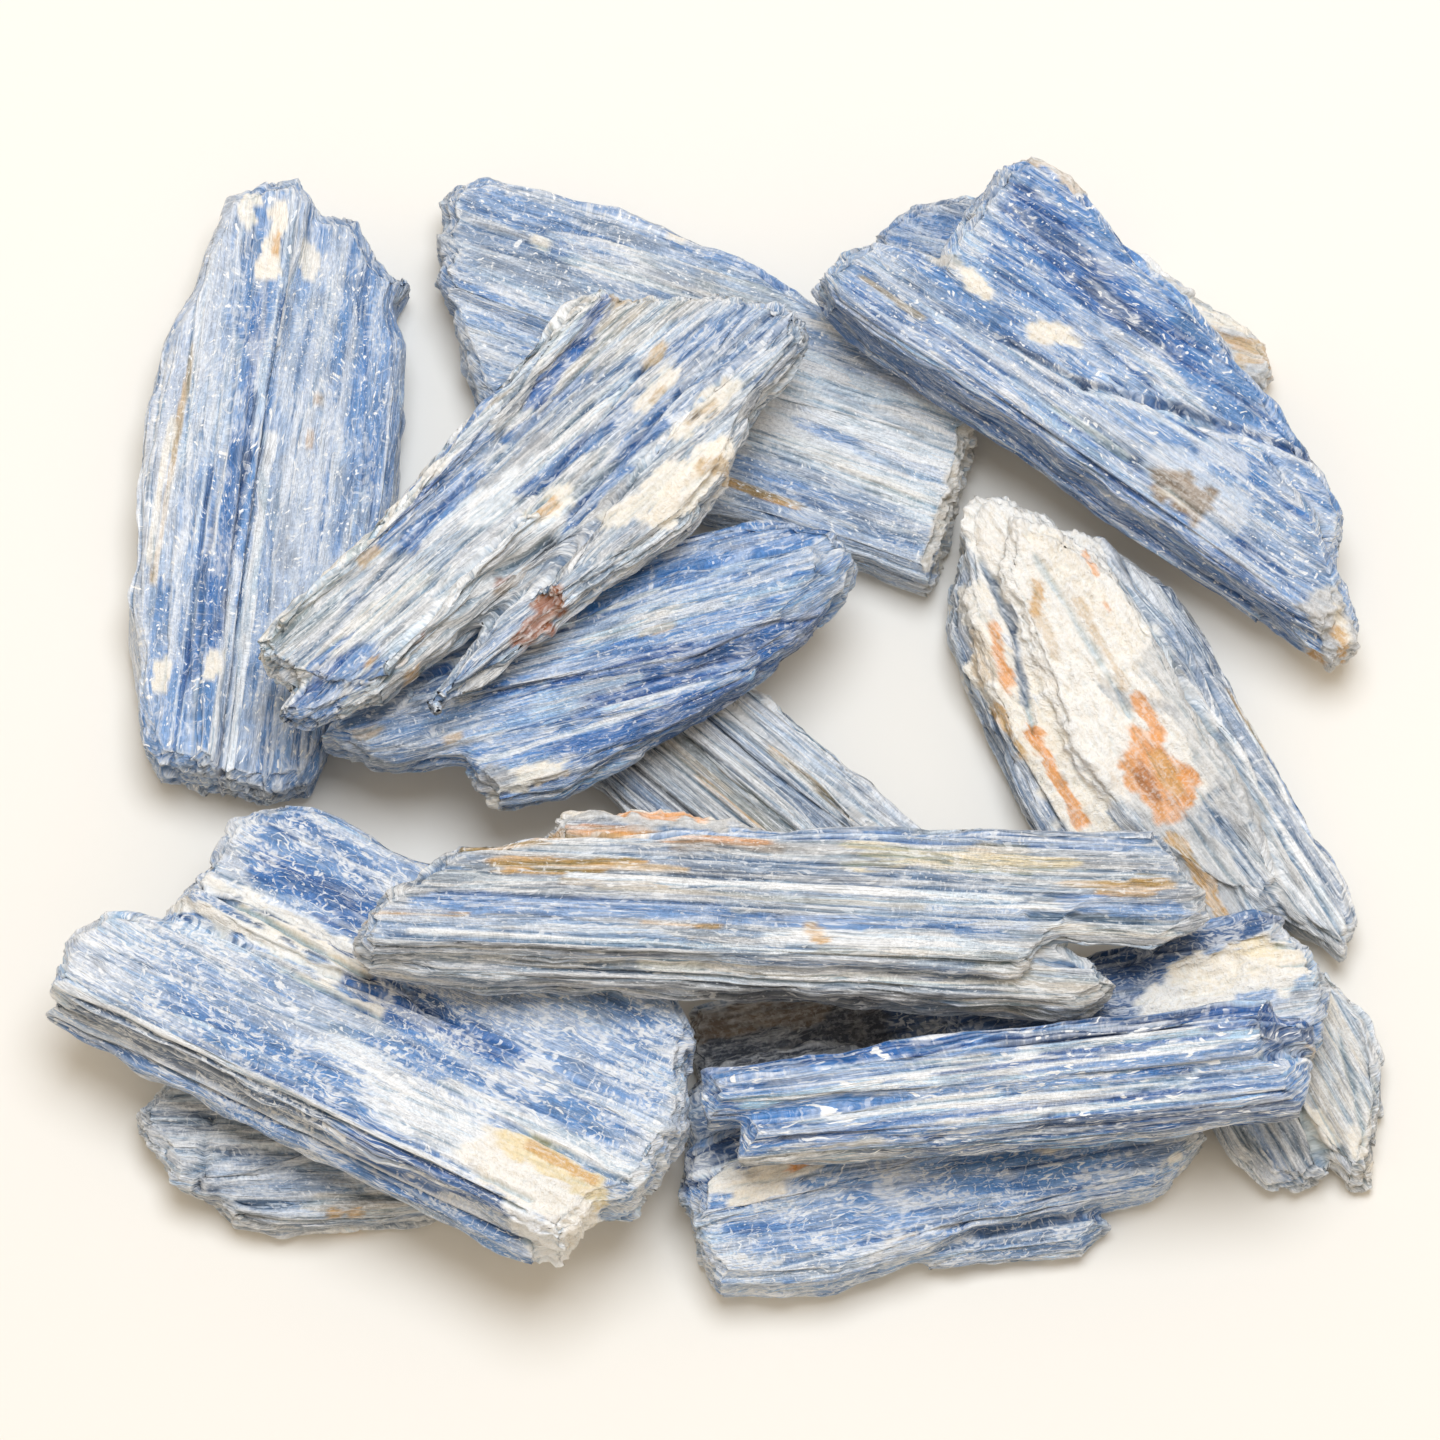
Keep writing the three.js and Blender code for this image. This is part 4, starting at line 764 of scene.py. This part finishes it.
def make_blade(name, look, salt):
    """One blade as a fine mesh in the frame's coordinates, in place of its CAD node."""
    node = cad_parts[name]
    axes = blade_axes(node, look["heading"])
    world = read_points(node.data) / MM
    local = world @ axes.T
    shift = np.array([*look["corner"], 0]) - local.min(axis=0)
    squeeze = np.array([1 / STRETCH, 1, 1])
    faces = [tuple(polygon.vertices) for polygon in node.data.polygons]
    mesh = refined_mesh(name + "_stone", (local + shift) * squeeze, faces)
    points = read_points(mesh) / squeeze
    write_points(mesh, points)
    normals = read_normals(mesh)
    grain = Grain(points, look, salt)
    weave = dict(zip(WEAVE, look["weave"]))
    tint, crust, quiet = blade_tint(grain, look, weave)
    moved = roughen(grain, normals, look, crust)
    side = smooth_step(0.3, 0.8, np.abs(normals[:, 1]))
    placed = (moved - shift) @ axes
    placed[:, 2] = np.maximum(placed[:, 2], LOWEST)
    write_points(mesh, placed * MM)
    turn = bend(mesh, placed)
    # Ridges are painted whiter, and creases get painted shade.
    ridge = smooth_step(0.12, 0.95, turn) * (1 - 0.4 * crust) * (1 - 0.6 * quiet)
    tint = toward(tint, 0.6 * ridge, linear("white"))
    crease = smooth_step(0.15, 1.2, -turn) * (1 - 0.7 * crust)
    tint *= 1 - crease[:, None] * SHADE
    away = grain.straight + salt * SALT_STEP
    fibre = np.stack([away[:, 0], away @ FIBRE_ACROSS, np.zeros(len(away))], axis=1)
    calm = weave["calm"] * smooth_step(0.42, 0.58, grain.busy)
    busy = (1 - calm) * (1 - 0.75 * quiet)
    set_attribute(mesh, "tint", "FLOAT_COLOR", "color", np.hstack([tint, np.ones((len(tint), 1))]))
    for kind, values in (("crust", crust), ("side", side), ("busy", busy), ("smudge", grain.smudge)):
        set_attribute(mesh, kind, "FLOAT", "value", values)
    set_attribute(mesh, "grain", "FLOAT_VECTOR", "vector", away)
    set_attribute(mesh, "fibre", "FLOAT_VECTOR", "vector", fibre)
    mesh.polygons.foreach_set("use_smooth", np.ones(len(mesh.polygons), bool))
    mesh.materials.clear()
    mesh.materials.append(stone_material(name, weave))
    stone = add_object(name + "_stone", mesh)
    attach(stone, "root")
    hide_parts(name)


# Materials

class Nodes:
    """A short way to write a material's nodes."""

    def __init__(self, material):
        material.use_nodes = True
        self.tree = material.node_tree
        self.tree.nodes.clear()

    def add(self, kind, inputs=None, **settings):
        node = self.tree.nodes.new(kind)
        for key, value in settings.items():
            setattr(node, key, value)
        for key, value in (inputs or {}).items():
            self.feed(node.inputs[key], value)
        return node

    def feed(self, socket, value):
        if isinstance(value, bpy.types.NodeSocket):
            self.tree.links.new(value, socket)
        else:
            socket.default_value = value

    def attribute(self, name, output):
        return self.add("ShaderNodeAttribute", attribute_name=name).outputs[output]

    def math(self, operation, first, second=0.0, clamp=False):
        node = self.add("ShaderNodeMath", {0: first, 1: second}, operation=operation, use_clamp=clamp)
        return node.outputs[0]

    def fold(self, operation, first, *others):
        for other in others:
            first = self.math(operation, first, other)
        return first

    def product(self, *values):
        return self.fold("MULTIPLY", *values)

    def total(self, *values):
        return self.fold("ADD", *values)

    def highest(self, *values):
        return self.fold("MAXIMUM", *values)

    def scaled(self, vector, scale):
        node = self.add("ShaderNodeVectorMath", {0: vector, 1: scale}, operation="MULTIPLY")
        return node.outputs[0]

    def noise(self, vector, scale, detail, roughness=0.6, dimensions="2D"):
        """Noise from 0 to 1; two dimensions are enough along the fibres."""
        inputs = {"Vector": self.scaled(vector, scale), "Scale": 1.0, "Detail": detail}
        inputs["Roughness"] = roughness
        return self.add("ShaderNodeTexNoise", inputs, noise_dimensions=dimensions).outputs["Fac"]

    def cells(self, vector, scale, feature="F1"):
        """Flat cells: a node that gives each point's distance and its cell's random colour."""
        inputs = {"Vector": self.scaled(vector, scale), "Scale": 1.0}
        return self.add("ShaderNodeTexVoronoi", inputs, feature=feature, voronoi_dimensions="2D")

    def ramp(self, value, low, high, to_low=0.0, to_high=1.0):
        inputs = {"Value": value, "From Min": low, "From Max": high, "To Min": to_low, "To Max": to_high}
        node = self.add("ShaderNodeMapRange", inputs, interpolation_type="SMOOTHSTEP")
        return node.outputs["Result"]

    def mix(self, share, first, second, blend="MIX"):
        node = self.add("ShaderNodeMix", data_type="RGBA", blend_type=blend)
        self.feed(node.inputs["Factor"], share)
        self.feed(node.inputs[6], first)
        self.feed(node.inputs[7], second)
        return node.outputs[2]

    def eased(self, value, least, most=1.0):
        """The value from 0 to 1 brought between two others."""
        return self.ramp(value, 0.0, 1.0, least, most)

    def filtered(self, first, second):
        """The first colour multiplied by the second."""
        return self.mix(1.0, first, second, "MULTIPLY")

    def vector(self, inputs):
        return self.add("ShaderNodeCombineXYZ", inputs).outputs[0]


def stone_material(name, weave):
    """Streaked kyanite with bright threads, dark hairlines, white cracks, white flecks that are partly
    painted glints, and quartz crust.
    """
    material = bpy.data.materials.new(name + "_finish")
    n = Nodes(material)
    grain = n.attribute("grain", "Vector")
    fibre = n.attribute("fibre", "Vector")
    tint = n.attribute("tint", "Color")
    crust = n.attribute("crust", "Fac")
    smudge = n.attribute("smudge", "Fac")
    side = n.attribute("side", "Fac")
    busy = n.product(n.attribute("busy", "Fac"), n.eased(side, 0.75))
    bare = n.math("SUBTRACT", 1.0, crust, clamp=True)
    brightness = n.add("ShaderNodeRGBToBW", {0: tint}).outputs[0]
    white = paint("white")

    # Streaks, threads, hairlines and strands that run with the grain.
    broad = n.noise(fibre, (0.06, 0.9, 1), 3.0)
    narrow = n.noise(fibre, (0.2, 4.0, 1), 3.0, 0.7)
    hair = n.noise(fibre, (0.45, 10.0, 1), 1.0)
    thread = n.cells(fibre, (0.12, 2.6, 1)).outputs["Color"]
    chance = n.add("ShaderNodeSeparateColor", {0: thread}).outputs
    pull = n.product(n.math("SUBTRACT", chance[0], 0.5), busy, weave["threads"], 0.9)
    level = n.total(n.product(broad, 0.8), n.product(narrow, 0.8), pull)
    lighter = n.mix(0.42, tint, white)
    darker = n.filtered(tint, n.mix(weave["rich"], GREY_SHADE, BLUE_SHADE))
    richer = n.filtered(tint, RICH_BLUE)
    share = n.product(n.ramp(chance[1], 0.6, 0.7), busy, weave["rich"], bare)
    colour = n.mix(share, tint, richer)
    share = n.product(n.ramp(level, 0.86, 1.04), n.eased(busy, 0.35))
    colour = n.mix(share, colour, lighter)
    share = n.product(n.ramp(level, 0.72, 0.54), n.eased(busy, 0.3, 0.8))
    share = n.product(share, n.ramp(brightness, 0.9, 0.6, 0.35, 1.0))
    colour = n.mix(share, colour, darker)
    share = n.product(n.ramp(hair, 0.38, 0.3), n.eased(busy, 0.1, 0.6), bare)
    colour = n.mix(share, colour, n.mix(0.3, darker, paint("slate")))
    strand = n.ramp(n.noise(fibre, (0.26, 6.0, 1), 1.0), 0.62, 0.68)
    share = n.product(strand, n.ramp(broad, 0.4, 0.52, 0.3, 1.0), busy, weave["strands"], bare)
    colour = n.mix(share, colour, white)

    # White dashes, cracks, veins and haze, white flecks that are partly painted glints, and a fine
    # mottling.
    sway = {"X": n.product(narrow, 0.3), "Y": n.product(smudge, 1.2)}
    bent = n.add("ShaderNodeVectorMath", {0: fibre, 1: n.vector(sway)}, operation="ADD").outputs[0]
    speck = n.noise(bent, (1.5, 3.0, 1), 1.0)
    dust = n.noise(bent, (3.2, 5.0, 1), 2.0, 0.7)
    dash = n.ramp(n.noise(bent, (0.6, 3.8, 1), 1.0), 0.61, 0.67)
    dash = n.product(dash, n.ramp(smudge, 0.44, 0.56, 0.2, 1.0), weave["dashes"])
    cell = n.cells(bent, (0.55, 0.95, 1), "DISTANCE_TO_EDGE").outputs["Distance"]
    crack = n.product(n.ramp(cell, 0.05, 0.015), n.ramp(speck, 0.4, 0.56, 0.1, 0.65))
    vein = n.math("ABSOLUTE", n.math("SUBTRACT", n.noise(bent, (0.2, 1.2, 1), 1.0), 0.5))
    vein = n.product(n.ramp(vein, 0.022, 0.008), n.ramp(speck, 0.4, 0.5))
    haze = n.product(n.ramp(smudge, 0.5, 0.64), n.ramp(speck, 0.44, 0.6), 0.7)
    crack = n.product(n.highest(crack, vein, haze), weave["net"])
    # The flecks are white specks in the stone and partly painted glints.
    fleck_and_glint = n.highest(n.ramp(speck, 0.69, 0.74), n.ramp(dust, 0.7, 0.76))
    marks = n.highest(crack, dash, n.product(fleck_and_glint, weave["flecks_and_glints"]))
    marks = n.product(marks, n.ramp(brightness, 0.02, 0.1, 0.15, 1.0))
    mottle = n.ramp(dust, 0.3, 0.7, 0.86, 1.1)
    colour = n.filtered(colour, n.vector({"X": mottle, "Y": mottle, "Z": mottle}))
    colour = n.mix(n.math("MULTIPLY", marks, bare, clamp=True), colour, white)

    # Quartz crust, with painted shade in its hollows, and the stains on it.
    grit = n.noise(grain, (2.2, 2.2, 2.2), 3.0, 0.7, "3D")
    # The crust is darker in the grit's hollows, which is painted shade, and whiter on the grit's peaks.
    crumb = n.mix(n.ramp(grit, 0.34, 0.5), n.filtered(tint, CRUMB_SHADE), tint)
    crumb = n.mix(n.product(n.ramp(grit, 0.5, 0.62), 0.45), crumb, white)
    crumb = n.mix(n.product(n.ramp(smudge, 0.56, 0.68), 0.12), crumb, paint("tan"))
    colour = n.mix(n.product(crust, 0.9), colour, crumb)

    # Fine relief and gloss.
    thread = n.product(chance[2], weave["threads"], 0.35)
    relief = n.total(n.product(narrow, 0.6), n.product(hair, 0.35), thread, n.product(dust, 0.35))
    bumps = n.add("ShaderNodeMix", data_type="FLOAT")
    n.feed(bumps.inputs["Factor"], crust)
    n.feed(bumps.inputs[2], relief)
    n.feed(bumps.inputs[3], n.product(grit, 1.2))
    bump = {"Height": bumps.outputs[0], "Distance": BUMP_HEIGHT, "Strength": 1.0}
    gloss = n.ramp(broad, 0.35, 0.65, 0.34, 0.5)
    principled = n.add(
        "ShaderNodeBsdfPrincipled",
        {
            "Base Color": colour,
            "Roughness": n.total(gloss, n.product(crust, 0.2)),
            "IOR": 1.6,
            "Specular IOR Level": 0.5,
            "Normal": n.add("ShaderNodeBump", bump).outputs["Normal"],
        },
    )
    n.add("ShaderNodeOutputMaterial", {"Surface": principled.outputs[0]})
    return material


# Stage

def make_floor():
    """A plain pale surface under the heap."""
    bpy.ops.mesh.primitive_plane_add(size=FLOOR_SIZE)
    floor = bpy.context.object
    floor.name = "floor"
    material = bpy.data.materials.new("floor_finish")
    n = Nodes(material)
    finish = {"Base Color": FLOOR_COLOUR, "Roughness": 0.9, "Specular IOR Level": 0.1}
    surface = n.add("ShaderNodeBsdfPrincipled", finish)
    n.add("ShaderNodeOutputMaterial", {"Surface": surface.outputs[0]})
    floor.data.materials.append(material)


def aim(item, place, target):
    item.location = place
    item.rotation_euler = (Vector(target) - Vector(place)).to_track_quat("-Z", "Y").to_euler()


def make_light():
    """Even light from all round, and a soft light from above and behind on the right."""
    world = bpy.data.worlds.new("studio")
    bpy.context.scene.world = world
    world.use_nodes = True
    background = world.node_tree.nodes["Background"]
    background.inputs["Color"].default_value = SKY_COLOUR
    background.inputs["Strength"].default_value = SKY_STRENGTH
    lamp = bpy.data.lights.new("key_light", "AREA")
    lamp.shape = "DISK"
    lamp.size = KEY_SIZE
    lamp.energy = KEY_POWER
    lamp.color = KEY_COLOUR
    aim(add_object("key_light", lamp), KEY_PLACE, (0, 0, 0))
    bpy.context.scene.view_settings.view_transform = "Standard"


def make_camera():
    camera = bpy.data.cameras.new("camera")
    camera.sensor_width = SENSOR
    camera.lens = SENSOR * CAMERA_DISTANCE / WIDTH_SEEN
    camera.clip_start = CLIP_START
    holder = add_object("camera", camera)
    rise = math.radians(CAMERA_ELEVATION)
    place = Vector(CAMERA_TARGET) + CAMERA_DISTANCE * Vector((0, -math.cos(rise), math.sin(rise)))
    aim(holder, place, CAMERA_TARGET)
    bpy.context.scene.camera = holder


make_camera()
make_light()
make_floor()
for order, (name, look) in enumerate(BLADES.items()):
    make_blade(name, look, FIRST_SALT + BLADE_SALT * order)
